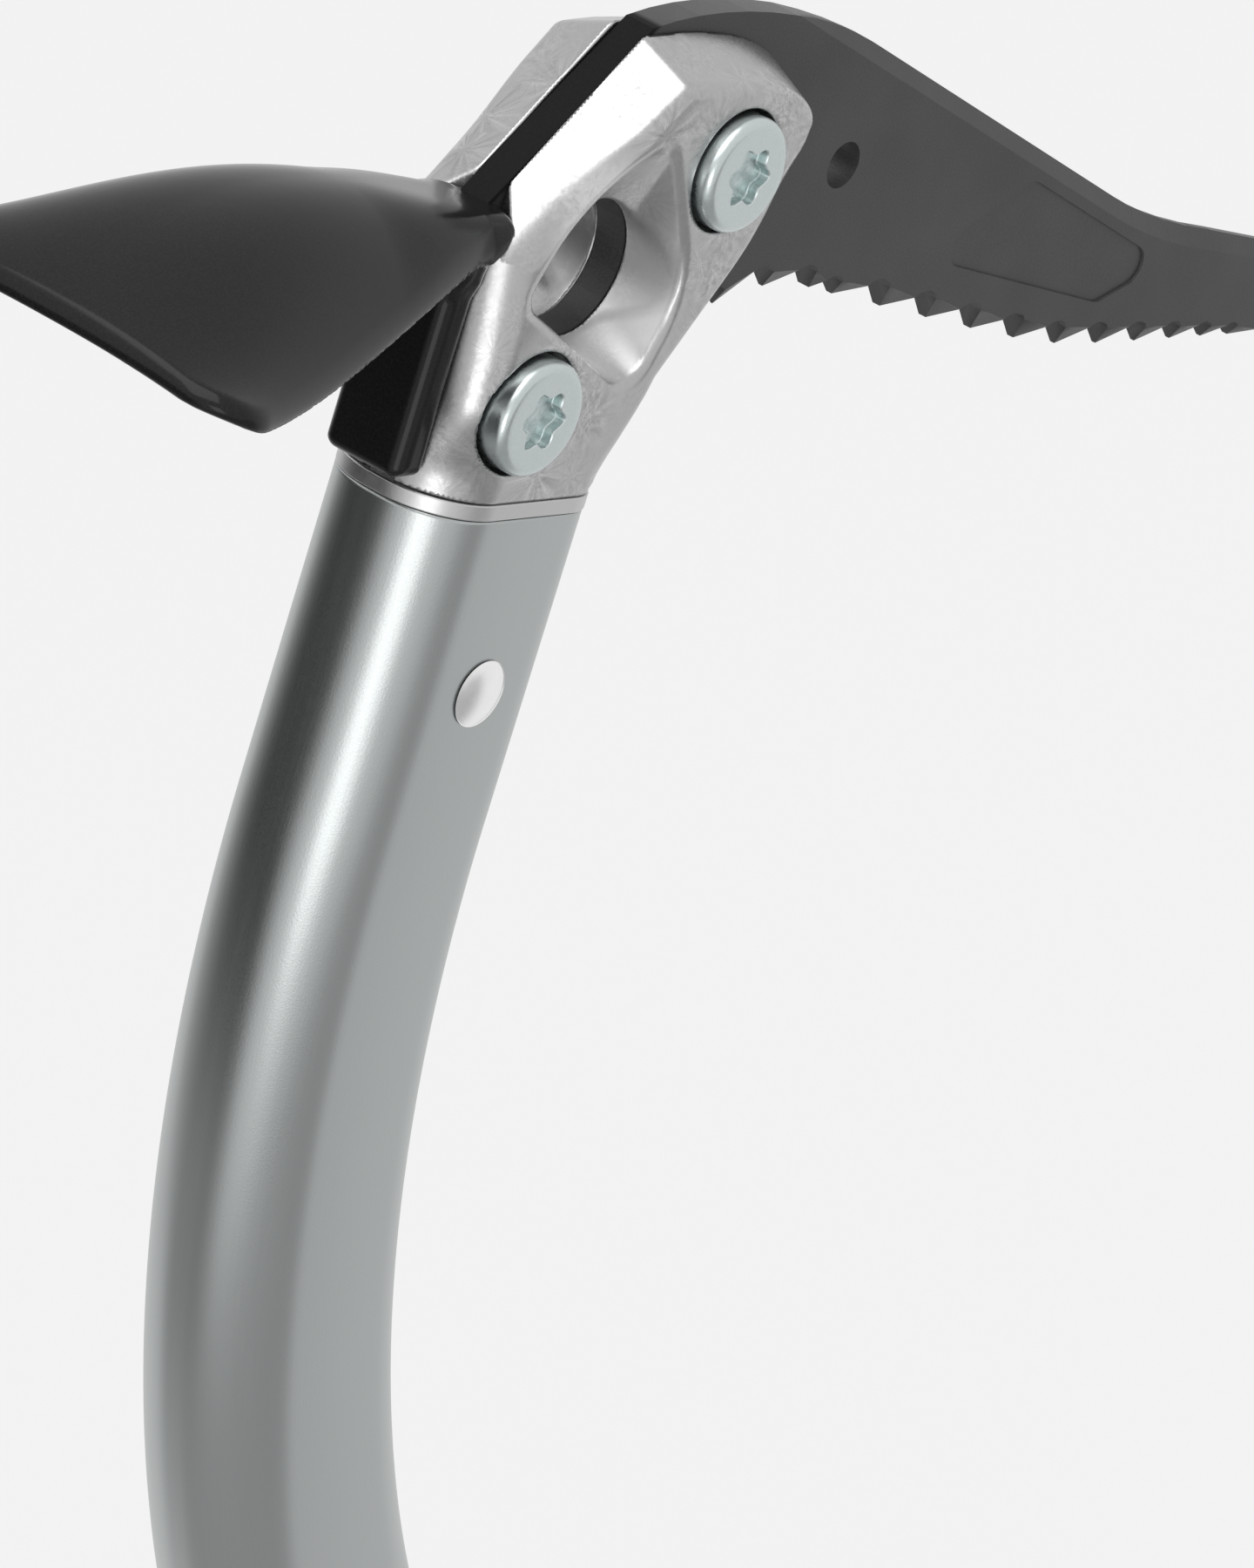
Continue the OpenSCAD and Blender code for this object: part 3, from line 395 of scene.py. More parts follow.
NECK_END = tube_line(np.array([tube_length]))[0]
under_nose = np.radians(np.linspace(-30, 0, 9))
over_nose = np.radians(np.linspace(3, 90, 30))
head_side = np.vstack([
    [[-40, -12], [14.1, -12], [14.1, 1.8], [14.5, 2.4], [14.5, 4.0]],
    [[14.8, 7], [15.3, 9.5], [16.0, 12.5], [16.9, 15.5]],
    NOSE + NOSE_R * np.c_[np.cos(under_nose), np.sin(under_nose)],
    CREST + CREST_R * np.c_[np.cos(over_nose), np.sin(over_nose)] ** (2 / 2.5),
    [[7.2, 53.1], [-40, 53.1]],
])


def notch_wall(at, w, past_slot):
    """Distance in front of the notch's front wall, which slants back as it goes out from the slot."""
    return (w - at + NOTCH_LEAN * past_slot) / NOTCH_STEEP


def notch_floor(w):
    """Height of the floor of the notch for the adze: level, then falling behind a break."""
    return NOTCH_H - NOTCH_FALL * np.maximum(NOTCH_BREAK - w, 0)


def head_distance(w, v, n):
    """Signed distance to the forged head. Seen from the side it is the outline less all that lies above
    the spine line; both lean away from the slot, and the cheek leans in near the spine's foot. The
    back keeps the tube's round corners. Each pocket is a cone from a circle at the slot to a rounded
    polygon on the cheek, and notch, counterbores, bores and slot are cut last. A share just under 1
    on a slanting face keeps the slope of its distance near 1."""
    m = np.abs(n)
    past_slot = np.maximum(m - SLOT, 0)
    behind = (w - LEAN_AT[0]) * LEAN_WAY[0] + (v - LEAN_AT[1]) * LEAN_WAY[1]
    lean = np.where(n > 0, LEAN_NEAR, LEAN_FAR) * (behind + np.hypot(behind, 2.0))
    tuck = TUCK * (1 - smooth_step(RING_TOP - 0.4, RING_TOP + 0.3, v))
    out = (m - CHEEK + lean + FOOT_SLIM * (1 - smooth_step(*FOOT_ZONE, v)) + tuck) * 0.94
    side = outline_distance(w, v, head_side) + ROOF_LEAN * smooth_step(*ROOF_ZONE, v) * past_slot
    along = (w - BACK_W) * math.cos(SPINE) + (v - BACK_H) * math.sin(SPINE)
    above = (v - BACK_H) * math.cos(SPINE) - (w - BACK_W) * math.sin(SPINE)
    spine = (above + SPINE_LIFT - SPINE_RISE * along + SPINE_LEAN * past_slot) / SPINE_STEEP
    rim = CHEEK_RIM
    for change, low, high in CHEEK_RIM_CHANGES:
        rim = rim + change * smooth_step(low, high, v)
    body = both(both(side, spine, RIDGE_R), out, rim)
    back_rim = BACK_R - BACK_LOSS * smooth_step(*BACK_ZONE, v)
    body = np.maximum(both(BACK_W - w + tuck, out, back_rim), body)
    deep = np.clip((m - SLOT) / (CHEEK - SLOT), 0, 1.4)
    right, low_right, low_left, left, top = (
        a * (w - WINDOW[0]) + b * (v - WINDOW[1]) - CONE_R - (reach - WINDOW @ (a, b) - CONE_R) * deep
        for a, b, reach in POCKET
    )
    round_r = CONE_R - CONE_LOSS * deep
    pocket = both(both(right, low_right, round_r), low_left, round_r)
    pocket = both(pocket, both(left, top, round_r), np.maximum(CONE_R - CORNER_LOSS * deep, CORNER_LEAST))
    body = cut(body, pocket * 0.8, POCKET_RIM)
    notch = np.maximum(notch_wall(NOTCH_FRONT, w, past_slot), (notch_floor(w) - v) * 0.8)
    body = cut(body, notch, NOTCH_RIM)
    body = cut(body, np.hypot(w - WINDOW[0], v - WINDOW[1]) - WINDOW_R, WINDOW_RIM)
    for at in (UPPER_BOLT, LOWER_BOLT):
        reach = np.hypot(w - at[0], v - at[1])
        body = cut(body, both(reach - BORE_R, SEAT_N - m, SEAT_RIM), BORE_RIM)
        body = np.maximum(body, np.where(n > 0, BOLT_HOLE, NUT_HOLE) - reach)
    floor = np.where(w < SLOT_STEP_W, RING_TOP - 1, SLOT_FRONT_H)
    body = cut(body, np.maximum(m - SLOT, floor - v), SLOT_RIM)
    body = np.maximum(body, RING_TOP - 1.2 - v)
    stub_front = both(w - STUB_DEPTH, m - STUB_WIDTH, FRONT_R - TUBE_WALL)
    stub_back = both(-w - STUB_DEPTH, m - STUB_WIDTH, BACK_R - TUBE_WALL)
    stub = np.maximum(np.maximum(stub_front, stub_back), v - STUB_TOP)
    return np.minimum(body, both(stub, STUB_FOOT - v, STUB_RIM))


# Centre and foot of the near pocket's painted highlight.
POCKET_AT = (from_head(np.array([[5.5, 29.0, 0.0]])) + NECK_END)[0]
POCKET_LOW = 19.0 + float(NECK_END[0] @ (math.sin(BEND), 0, math.cos(BEND)))


def spangled(place):
    """Bare forged metal: frost stars, each a fan of rays about the centre of its cell, over a fine grain.
    The near pocket gets a painted highlight, brightest at its foot and less metallic there, and the window's
    far wall gets painted shade and is rougher."""
    stars = 0.0
    for size, weight in STARS:
        cell = {"Vector": place, "Scale": 1 / size}
        middle = place.node("TexVoronoi", None, cell, "Position")
        mark = place.node("TexVoronoi", None, cell, "Color")
        reach = place.node("TexVoronoi", None, cell, "Distance")
        ray = place.vector("SUBTRACT", middle)
        ray = ray.node("VectorMath", {"operation": "NORMALIZE"}, {0: ray})
        spread = ray.vector("MULTIPLY", (4.5, 4.5, 4.5)).vector("ADD", mark.vector("MULTIPLY", (90, 90, 90)))
        stars = stars + (spread.noise(1.0, 3.0, 0.65) - 0.5) * (1 - reach.ease(0.15, 0.8)) * weight
    grain = place.noise(2.4, 3.0)
    cloud = place.noise(0.09, 2.0)
    near_window = place.vector("MULTIPLY", (1, 0, 1)).vector("DISTANCE", tuple(POCKET_AT), 1)
    depth = place.vector("DOT_PRODUCT", (0, -1, 0), 1)
    pocket = (1 - near_window.ease(12.0, 15.0)) * depth.ease(0.0, 2.0) * (1 - depth.ease(9.4, 10.3))
    height = place.vector("DOT_PRODUCT", (math.sin(BEND), 0, math.cos(BEND)), 1) - POCKET_LOW
    # Painted highlight in the near pocket, brightest at its foot; Metallic is lowered there so the raised
    # colour shows.
    painted_highlight = pocket * (1.5 - 0.9 * height.ease(0.0, 14.0))
    # Painted shade on the window's far wall, which is also made rougher.
    painted_far_shade = (1 - near_window.ease(10.0, 13.0)) * (1 - depth.ease(-3.0, -2.0)) * depth.ease(-10.3, -9.4)
    tone = stars * 2.4 + (grain - 0.5) * 0.22 + (cloud - 0.5) * 0.3 + 0.5 - painted_far_shade * 0.6
    tone = (tone.clamp() + painted_highlight * 1.3).clamp(0, 2.6)
    rough = FROST - stars * 0.30 + (grain - 0.5) * 0.10 + pocket * 0.1 + painted_far_shade * 0.25
    return {
        "Base Color": tone.blend(*shades(FORGED, 0.74, 1.26)),
        "Metallic": (1 - painted_highlight * 0.35).clamp(),
        "Roughness": rough.clamp(0.12, 0.6),
        "Bump": (grain * 0.7 + stars * 0.5, 0.015),
    }


bare_metal = finish("forged_aluminium", spangled)
points, quads, slopes = skin_of(head_distance, (-15.5, -34.8, -11.6), (35.0, 54.4, 11.6), SKIN_STEP)
head = mesh_piece("head_forging", from_head(points) + NECK_END, [quads], bare_metal, from_head(slopes))
stand_for(head, "bright_alloy", "head")

# COLLAR
# A thin alloy ring between the tube and the head, turned to the tube's outline. It hides the tube's
# cut end and is held by the head above it.
COLLAR_ALLOY, BEVEL_REACH = (0.56, 0.56, 0.56), 5.0


def column(items, name, width=1, kind=np.float32):
    """One property of all the items of a mesh, a row for each."""
    values = np.empty(len(items) * width, kind)
    items.foreach_get(name, values)
    return values.reshape(-1, width) if width > 1 else values


def plate_normals(mesh):
    """Corner normals of a plate across Y. Its sides are exactly level. On the bevels of its upper edge a
    corner takes the mean normal of the bevel's faces round it, weighted by area and nearness."""
    normals = column(mesh.corner_normals, "vector", 3)
    faces = column(mesh.polygons, "normal", 3).astype(float)
    middles = column(mesh.polygons, "center", 3).astype(float) / MM
    areas = column(mesh.polygons, "area").astype(float)
    owner = np.repeat(np.arange(len(faces)), column(mesh.polygons, "loop_total", kind=np.int32))
    corners = column(mesh.loops, "vertex_index", kind=np.int32)
    places = column(mesh.vertices, "co", 3).astype(float)[corners] / MM
    level = np.abs(faces[:, 1]) > 0.999
    normals[level[owner]] = np.round(faces[owner][level[owner]])
    for side in (-1, 1):
        bevel = (faces[:, 1] * side > 0.4) & ~level & (faces[:, 2] > 0.2)
        near = np.linalg.norm(places[bevel[owner]][:, None] - middles[bevel], axis=2)
        share = (areas[bevel] + 1e-9) * np.exp(-(near / BEVEL_REACH) ** 2)
        mean = (share + 1e-15) @ faces[bevel]
        normals[bevel[owner]] = mean / np.linalg.norm(mean, axis=1)[:, None]
    return normals


def eased(node, width, material, slot, crease=32):
    """A copy of a CAD node with its triangles merged and its round faces smooth. Where a width is given,
    flat triangles are joined too and a bevel rounds the edges; without one it is shaded as a plate."""
    shape = bmesh.new()
    shape.from_mesh(frame["nodes"][node].data)
    bmesh.ops.remove_doubles(shape, verts=shape.verts, dist=1e-6)
    if width:
        bmesh.ops.dissolve_limit(shape, angle_limit=0.01, verts=shape.verts, edges=shape.edges)
    mesh = bpy.data.meshes.new(node + "_eased")
    shape.to_mesh(mesh)
    shape.free()
    mesh.polygons.foreach_set("use_smooth", np.ones(len(mesh.polygons), bool))
    mesh.set_sharp_from_angle(angle=math.radians(crease))
    if not width:
        mesh.normals_split_custom_set(plate_normals(mesh))
    mesh.materials.clear()
    mesh.materials.append(material)
    piece = bpy.data.objects.new(node + "_eased", mesh)
    bpy.context.scene.collection.objects.link(piece)
    if width:
        bevel = piece.modifiers.new("edge", "BEVEL")
        bevel.width, bevel.segments, bevel.limit_method = width * MM, 2, "ANGLE"
        bevel.angle_limit, bevel.harden_normals = math.radians(crease), True
        bevel.use_clamp_overlap = False
    stand_for(piece, slot, node)
    return piece


def turned_alloy(place):
    """Machined alloy: faint tool lines and a light grain."""
    grain = place.noise(2.0, 3.0)
    lines = place.vector("MULTIPLY", (0.4, 0.4, 9.0)).noise(1.0, 2.0)
    tone = 0.5 + (grain - 0.5) * 0.3 + (lines - 0.5) * 0.25
    return {
        "Base Color": tone.clamp().blend(*shades(COLLAR_ALLOY, 0.86, 1.12)),
        "Roughness": 0.36 + (grain - 0.5) * 0.14,
        "Bump": (grain * 0.5 + lines * 0.5, 0.008),
    }


clean_alloy = finish("turned_alloy", turned_alloy, Metallic=1.0)
eased("shaft_collar", 0.2, clean_alloy, "bright_alloy")

# PICK
# One plate of forged steel, 4 mm thick, clamped between the cheeks. It is ground to a point, with
# round gullets between chamfered teeth, then blasted to a dark satin. Its sawn rear edge, which
# fills the slot down the spine, is nearly black.
BLASTED, BLASTED_ROUGH = (0.052, 0.052, 0.053), 0.42
HEEL_FROM, HEEL_TO, HEEL_LOW, HEEL_RISE = 22.0, 36.0, 16.5, 4.0
head_axes = from_head(np.eye(3))
spine_out = np.array([-math.sin(SPINE), math.cos(SPINE), 0]) @ head_axes
spine_foot = (from_head(np.array([[BACK_W, BACK_H, 0]])) + NECK_END)[0]


def blasted_steel(place):
    """Dark blasted steel: even grain, faint clouds, and a black rear edge along the spine."""
    grain = place.noise(3.5, 3.0)
    cloud = place.noise(0.08, 2.0)
    above = place.vector("DOT_PRODUCT", tuple(spine_out), 1) - float(spine_foot @ spine_out)
    rear = above.ease(-1.0, -0.3)
    tone = (0.5 + (grain - 0.5) * 0.5 + (cloud - 0.5) * 0.3).clamp() * (1 - rear * 0.97)
    return {
        "Base Color": tone.blend(*shades(BLASTED, 0, 2)),
        "Roughness": BLASTED_ROUGH + (grain - 0.5) * 0.2 + rear * 0.45,
        "Bump": (grain, 0.02),
    }


dark_steel = finish("blasted_steel", blasted_steel, Specular_IOR_Level=0.3)
pick = eased("pick", 0, dark_steel, "dark_steel", 26)
corners = column(pick.data.vertices, "co", 3).astype(float)
w, v, _ = head_axes @ (corners / MM - NECK_END).T
corners[(w > HEEL_FROM) & (w < HEEL_TO) & (v < HEEL_LOW)] += HEEL_RISE * MM * head_axes[1]
pick.data.vertices.foreach_set("co", corners.astype(np.float32).ravel())
pick.data.update()

# ADZE
# A steel sheet pressed into a shallow shovel, narrow at the head and wide at its cutting edge. Its
# root fills the notch in the head's spine, a flange runs down the back of the head from it, and a
# tongue inside the slot takes the lower bolt. It is painted gloss black all over.
ADZE_FRONT, ADZE_ROOT, ADZE_REACH, ADZE_WALL = -10.0, -16.1, 77.0, -9.6
ADZE_THICK, ADZE_RIM, ADZE_CORNER, ADZE_FILLET = 2.5, 1.1, 8.5, 1.3
ADZE_BACK, SEAT_PLAY = -15.2, 0.05
ROLL_EDGE, ROLL_ROOT, ROLL_ZONE = 2.4, 6.0, (0.02, 0.4)
ROOT_HALF, EDGE_HALF = 7.4, 28.0
CROWN, BRIM = (33.8, 35.7, 44.2, 25.07), (32.4, 29.8, 19.2, 23.6)
FILLER = np.array([
    [-9.9, 32.7], [-12.4, 32.7], [-15.2, 30.2], [-15.4, 27.0], [-17.4, 27.0],
    [-18.6, 29.2], [-18.8, 30.4], [-15.5, 32.3], [-12.0, 32.9],
])
FILLER_ROUND, FLANGE_ROUND, FLANGE_HALF, FLANGE_FLARE, FLANGE_FILLET = 0.3, 1.2, 5.7, 1.7, 3.0
FLANGE = np.array([[-17.3, 4.7], [-14.8, 4.7], [-14.8, 29.0], [-17.3, 29.0]])
TONGUE = np.array([[-16.0, 4.0], [-5.0, 4.0], [-5.0, 19.8], [-16.0, 19.8]])
TONGUE_HALF, TONGUE_EYE_R, TONGUE_HOLE = 2.0, 6.5, 3.1
STOVED = 0.17


def bezier(s, heights):
    """A cubic curve from the first height to the last, drawn towards the two between."""
    a, b, c, d = heights
    return a * (1 - s) ** 3 + 3 * b * s * (1 - s) ** 2 + 3 * c * s * s * (1 - s) + d * s ** 3


def adze_distance(w, v, n):
    """Signed distance to the adze. The blade is a sheet under a surface whose height goes from the crown
    in the middle to the brim at the sides, each a cubic curve along the blade, inside a plan that
    widens to the edge. A filler in the notch and a flange, both flared at the top, carry it and are
    joined to it with a fillet; the tongue is a plate with a round eye."""
    m = np.abs(n)
    wall = notch_wall(ADZE_WALL, w, np.maximum(m - SLOT, 0))
    s = np.clip((ADZE_FRONT - w) / (ADZE_REACH + ADZE_FRONT), 0, 1.05)
    half = ROOT_HALF + (EDGE_HALF - ROOT_HALF) * np.clip((ADZE_ROOT - w) / (ADZE_REACH + ADZE_ROOT), 0, 1.05)
    across = np.minimum(m / half, 1.15)
    roll = ROLL_EDGE + (ROLL_ROOT - ROLL_EDGE) * (1 - smooth_step(*ROLL_ZONE, s))
    top = bezier(s, CROWN) + (bezier(s, BRIM) - bezier(s, CROWN)) * across ** roll
    sheet = (np.abs(v - top + ADZE_THICK / 2) - ADZE_THICK / 2) * 0.9
    plan = both(both((m - half) * 0.947, -ADZE_REACH - w, ADZE_CORNER), wall, 1.2)
    seat = np.maximum(ADZE_BACK - w, v - notch_floor(w) - SEAT_PLAY)
    blade = cut(both(plan, sheet, ADZE_RIM), seat, SEAT_RIM)
    filler = outline_distance(w, v, FILLER) - FILLER_ROUND
    filler = both(filler, m - FLANGE_HALF - FLANGE_FLARE * smooth_step(27, 31, v), 1.2)
    filler = both(filler, wall, 0.8)
    flange = outline_distance(w, v, FLANGE) - FLANGE_ROUND
    flange = both(flange, m - FLANGE_HALF - FLANGE_FLARE * smooth_step(29, 33, v), 1.9)
    bolt = np.hypot(w - LOWER_BOLT[0], v - LOWER_BOLT[1])
    tongue = np.minimum(outline_distance(w, v, TONGUE), bolt - TONGUE_EYE_R)
    tongue = np.maximum(np.maximum(tongue, m - TONGUE_HALF), TONGUE_HOLE - bolt)
    carrier = joined(filler, flange, FLANGE_FILLET)
    return np.minimum(joined(blade, carrier, ADZE_FILLET), tongue)


def gloss_paint(place):
    """Stoved gloss paint: a slight orange peel and a hint of dust."""
    peel = place.noise(0.45, 2.0)
    dust = place.noise(4.0, 2.0)
    return {
        "Base Color": dust.ease(0.3, 0.8).blend((0.010, 0.010, 0.011), (0.017, 0.017, 0.018)),
        "Roughness": STOVED + (dust - 0.5) * 0.08,
        "Bump": (peel, 0.012),
    }


points, quads, slopes = skin_of(adze_distance, (-78.0, 3.0, -29.0), (2.5, 42.0, 29.0), SKIN_STEP)
adze = mesh_piece(
    "adze_blade", from_head(points) + NECK_END, [quads],
    finish("gloss_black", gloss_paint, Specular_IOR_Level=0.2), from_head(slopes),
)
stand_for(adze, "black_paint", "adze")

# BOLTS
# Two flanged steel bolts, zinc plated, with six-lobe sockets. Each goes through a rubber washer, the near
# cheek and its plate into a sleeve nut in the far cheek. The washer's black rim round each flange also stands
# in for the shade in the counterbore gap.
BOLT_TOP, BOLT_FOOT, BOLT_R, BOLT_RIM = 12.6, 7.9, 6.75, 1.1
SOCKET_DEEP, SOCKET_R, LOBE, SHANK_R, SHANK_END = 1.35, 3.1, 0.45, 3.0, -12.6
LOBE_COUNT, BOLT_STEPS = 6, 288
ZINC, PLATED = (0.575, 0.625, 0.625), 0.30
# Socket colours: greener than the zinc, and darker as painted shade in the recess.
SOCKET_LOW, SOCKET_HIGH = (0.38, 0.46, 0.455), (0.64, 0.71, 0.705)


def turned(radii, heights, at, count):
    """A turned piece on an axis across the head: rings of these radii (one each, or one for each step
    round) at these heights, closed by a pole at each end."""
    turn = np.linspace(0, 2 * np.pi, count, endpoint=False)
    radii = np.broadcast_to(radii, (len(heights), count))
    heights = np.asarray(heights)[:, None] + 0 * radii
    points = np.stack([at[0] + radii * np.cos(turn), at[1] + radii * np.sin(turn), heights], -1)
    points = points[1:-1].reshape(-1, 3)
    poles = np.array([[*at, heights[0, 0]], [*at, heights[-1, 0]]])
    rows = len(heights) - 2
    first, last = np.arange(count), (rows - 1) * count + np.arange(count)
    caps = np.concatenate([
        np.c_[np.full(count, rows * count), first, np.roll(first, -1)],
        np.c_[np.full(count, rows * count + 1), np.roll(last, -1), last],
    ])
    return np.vstack([points, poles]), [grid_faces(rows, count, False, True)[:, ::-1], caps]


def zinc_plate(place):
    """Zinc plate: a cool tint, mottled where the plating settled, with a fine grain. In the sockets, which a
    mask round each bolt's axis picks out, it is greener and less even, and darker as painted shade."""
    grain = place.noise(2.6, 3.0)
    mottle = place.noise(0.7, 2.0)
    tone = 0.5 + (grain - 0.5) * 0.35 + (mottle - 0.5) * 0.3
    flat = place.vector("MULTIPLY", (1, 0, 1))
    spots = from_head(np.array([[*UPPER_BOLT, 0], [*LOWER_BOLT, 0]])) + NECK_END
    reach = SOCKET_R + LOBE
    hole = sum(1 - flat.vector("DISTANCE", tuple(spot), 1).ease(reach - 0.05, reach + 0.15) for spot in spots)
    depth = place.vector("DOT_PRODUCT", (0, -1, 0), 1)
    hole = hole * depth.ease(8.0, 9.0) * (1 - depth.ease(BOLT_TOP - 0.5, BOLT_TOP - 0.1))
    plain_zinc = tone.clamp().blend(*shades(ZINC, 0.84, 1.14))
    # Painted shade in the sockets, with a greener, less even tint.
    shaded_socket_tint = (0.5 + (mottle - 0.5) * 2.5 + (grain - 0.5)).clamp().blend(SOCKET_LOW, SOCKET_HIGH)
    return {
        "Base Color": tone.node("Mix", {"data_type": "RGBA"}, {0: hole, 6: plain_zinc, 7: shaded_socket_tint}, 2),
        "Roughness": PLATED + (mottle - 0.5) * 0.2 + hole * 0.08,
        "Bump": (grain, 0.01),
    }


zinc = finish("zinc_plated_steel", zinc_plate, Metallic=1.0)
lobes = np.cos(LOBE_COUNT * np.linspace(0, 2 * np.pi, BOLT_STEPS, endpoint=False))
socket = SOCKET_R + LOBE * lobes
round_rim = np.radians(np.linspace(0, 90, 9))
floor_n = BOLT_TOP - SOCKET_DEEP
plain = 0 * lobes
bolt_radii = [
    plain, 0.6 * socket, socket - 0.12, socket, socket, socket + 0.14, 4.3 + plain, 5.0 + plain,
    *[BOLT_R - BOLT_RIM + BOLT_RIM * math.sin(a) + plain for a in round_rim],
    *[r + plain for r in (BOLT_R, BOLT_R - 0.3, SHANK_R, SHANK_R, SHANK_R - 0.5, 0)],
]
bolt_heights = [
    floor_n, floor_n, floor_n, floor_n + 0.1, BOLT_TOP - 0.12, BOLT_TOP, BOLT_TOP, BOLT_TOP,
    *[BOLT_TOP - BOLT_RIM + BOLT_RIM * math.cos(a) for a in round_rim],
    BOLT_FOOT + 0.3, BOLT_FOOT, BOLT_FOOT, SHANK_END + 0.5, SHANK_END, SHANK_END,
]
for node, at in (("upper_bolt", UPPER_BOLT), ("lower_bolt", LOWER_BOLT)):
    points, faces = turned(bolt_radii, bolt_heights, at, BOLT_STEPS)
    bolt = mesh_piece(node + "_turned", from_head(points) + NECK_END, faces, zinc, crease=28)
    stand_for(bolt, "zinc_steel", node)
eased("bolt_nuts", 0.25, zinc, "zinc_steel")


def soft_rubber(place):
    """Moulded black rubber: matt, with a fine grain and a dusty bloom."""
    grain = place.noise(2.2, 3.0)
    bloom = place.noise(0.12, 2.0)
    tone = 0.5 + (grain - 0.5) * 0.6 + (bloom - 0.5) * 0.5
    return {
        "Base Color": tone.clamp().blend((0.012, 0.012, 0.013), (0.045, 0.045, 0.047)),
        "Roughness": 0.66 + (grain - 0.5) * 0.2,
        "Bump": (grain, 0.05),
    }


rubber = finish("moulded_rubber", soft_rubber, Specular_IOR_Level=0.3)
# The black washers under the flanges are partly a dark part put as painted shade of the gap round each
# flange.
eased("bolt_washers", 0.05, rubber, "black_rubber")

# HEAD RIVET
# A solid aluminium rivet across the neck holds the head's spigot in the tube. Its two heads are
# low polished domes that stand a little off the tube's flat sides.
RIVET_AT, RIVET_R, RIVET_HEAD_R, RIVET_HEAD_H = (1.7, -21.0), 2.5, 4.0, 0.8
RIVET_SEAT, RIVET_STEPS, DOME_SHARE, LIP_IN, LIP_UP = TUBE_WIDTH / 2 + 0.08, 96, 0.97, 0.15, 0.12
POLISHED, POLISHED_ROUGH = (0.9, 0.9, 0.9), 0.25


def polished(place):
    """Polished metal: bright, with hairline swirls."""
    hair = place.noise(5.0, 2.0)
    smear = place.noise(0.6, 2.0)
    tone = 0.5 + (smear - 0.5) * 0.5
    return {
        "Base Color": tone.clamp().blend(*shades(POLISHED, 0.9, 1.1)),
        "Roughness": POLISHED_ROUGH + (hair - 0.5) * 0.08 + (smear - 0.5) * 0.08,
        "Bump": (hair, 0.002),
    }


bright = finish("polished_metal", polished, Metallic=1.0)
dome_r = (RIVET_HEAD_R ** 2 + RIVET_HEAD_H ** 2) / (2 * RIVET_HEAD_H)
dome = np.linspace(0, 1, 10) * math.asin(RIVET_HEAD_R / dome_r) * DOME_SHARE
dome_tops = RIVET_SEAT + RIVET_HEAD_H - dome_r * (1 - np.cos(dome))
dome_radii = [*(dome_r * np.sin(dome)), RIVET_HEAD_R, RIVET_HEAD_R - LIP_IN, RIVET_R]
dome_heights = [*dome_tops, RIVET_SEAT + LIP_UP, RIVET_SEAT, RIVET_SEAT]
rivet_radii = np.array(dome_radii + dome_radii[::-1])[:, None]
rivet_heights = dome_heights + [-h for h in dome_heights[::-1]]
points, faces = turned(rivet_radii, rivet_heights, RIVET_AT, RIVET_STEPS)
rivet = mesh_piece("neck_rivet", from_head(points) + NECK_END, faces, bright, crease=40)
stand_for(rivet, "polished_steel", "head_rivet")

# GRIP
# A hard sleeve is bonded to the straight of the tube, with a raised ring at each end. A rubber skin
# is moulded round it between the rings, with shallow grooves across it.
SKIN_FOOT, SKIN_TOP = (corner[2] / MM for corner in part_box("grip_skin"))
SKIN_OUT, SKIN_IN, SKIN_END_R, SKIN_GIRTH, SKIN_ROWS = 3.6, 1.45, 0.8, 100.0, 520
GROOVE_PITCH, GROOVE_DEEP, GROOVE_FROM, GROOVE_FADE = 7.0, 0.7, 0.80, 6.0
PLASTIC, PLASTIC_ROUGH = (0.085, 0.088, 0.092), 0.46


def moulded_plastic(place):
    """Moulded plastic: spark-eroded grain and slow colour drift."""
    grain = place.noise(2.8, 3.0)
    drift = place.noise(0.05, 2.0)
    tone = 0.5 + (drift - 0.5) * 0.6 + (grain - 0.5) * 0.3
    return {
        "Base Color": tone.clamp().blend(*shades(PLASTIC, 0.75, 1.25)),
        "Roughness": PLASTIC_ROUGH + (grain - 0.5) * 0.2,
        "Bump": (grain, 0.03),
    }


plastic = finish("moulded_plastic", moulded_plastic)
eased("grip_core", 0.35, plastic, "grey_plastic")

height = SKIN_FOOT + (SKIN_TOP - SKIN_FOOT) * np.linspace(0, 1, SKIN_ROWS)
to_end = np.minimum(height - SKIN_FOOT, SKIN_TOP - height)
wave = (height - SKIN_FOOT - GROOVE_PITCH / 2) / GROOVE_PITCH
groove = GROOVE_DEEP * smooth_step(GROOVE_FROM, 1.0, np.abs(2 * (wave % 1) - 1))
groove = groove * smooth_step(0, GROOVE_FADE, to_end)
end_drop = np.maximum(SKIN_END_R - to_end, 0)
end_round = SKIN_END_R - np.sqrt(np.maximum(SKIN_END_R ** 2 - end_drop ** 2, 0))
shrink = ((groove + end_round) / SKIN_OUT)[:, None, None]
skin_rings = tube_ring(SKIN_OUT) * (1 - shrink) + tube_ring(0) * shrink
inner_rows = height[[-1, SKIN_ROWS // 2 - 1, 0]]
skin_walk = np.r_[height, inner_rows] - TUBE_FOOT
skin_rings = np.concatenate([skin_rings, np.repeat(tube_ring(SKIN_IN)[None], len(inner_rows), 0)])
skin_uv = np.stack(np.meshgrid(skin_walk, np.linspace(0, SKIN_GIRTH, girth), indexing="ij"), -1)[..., ::-1]
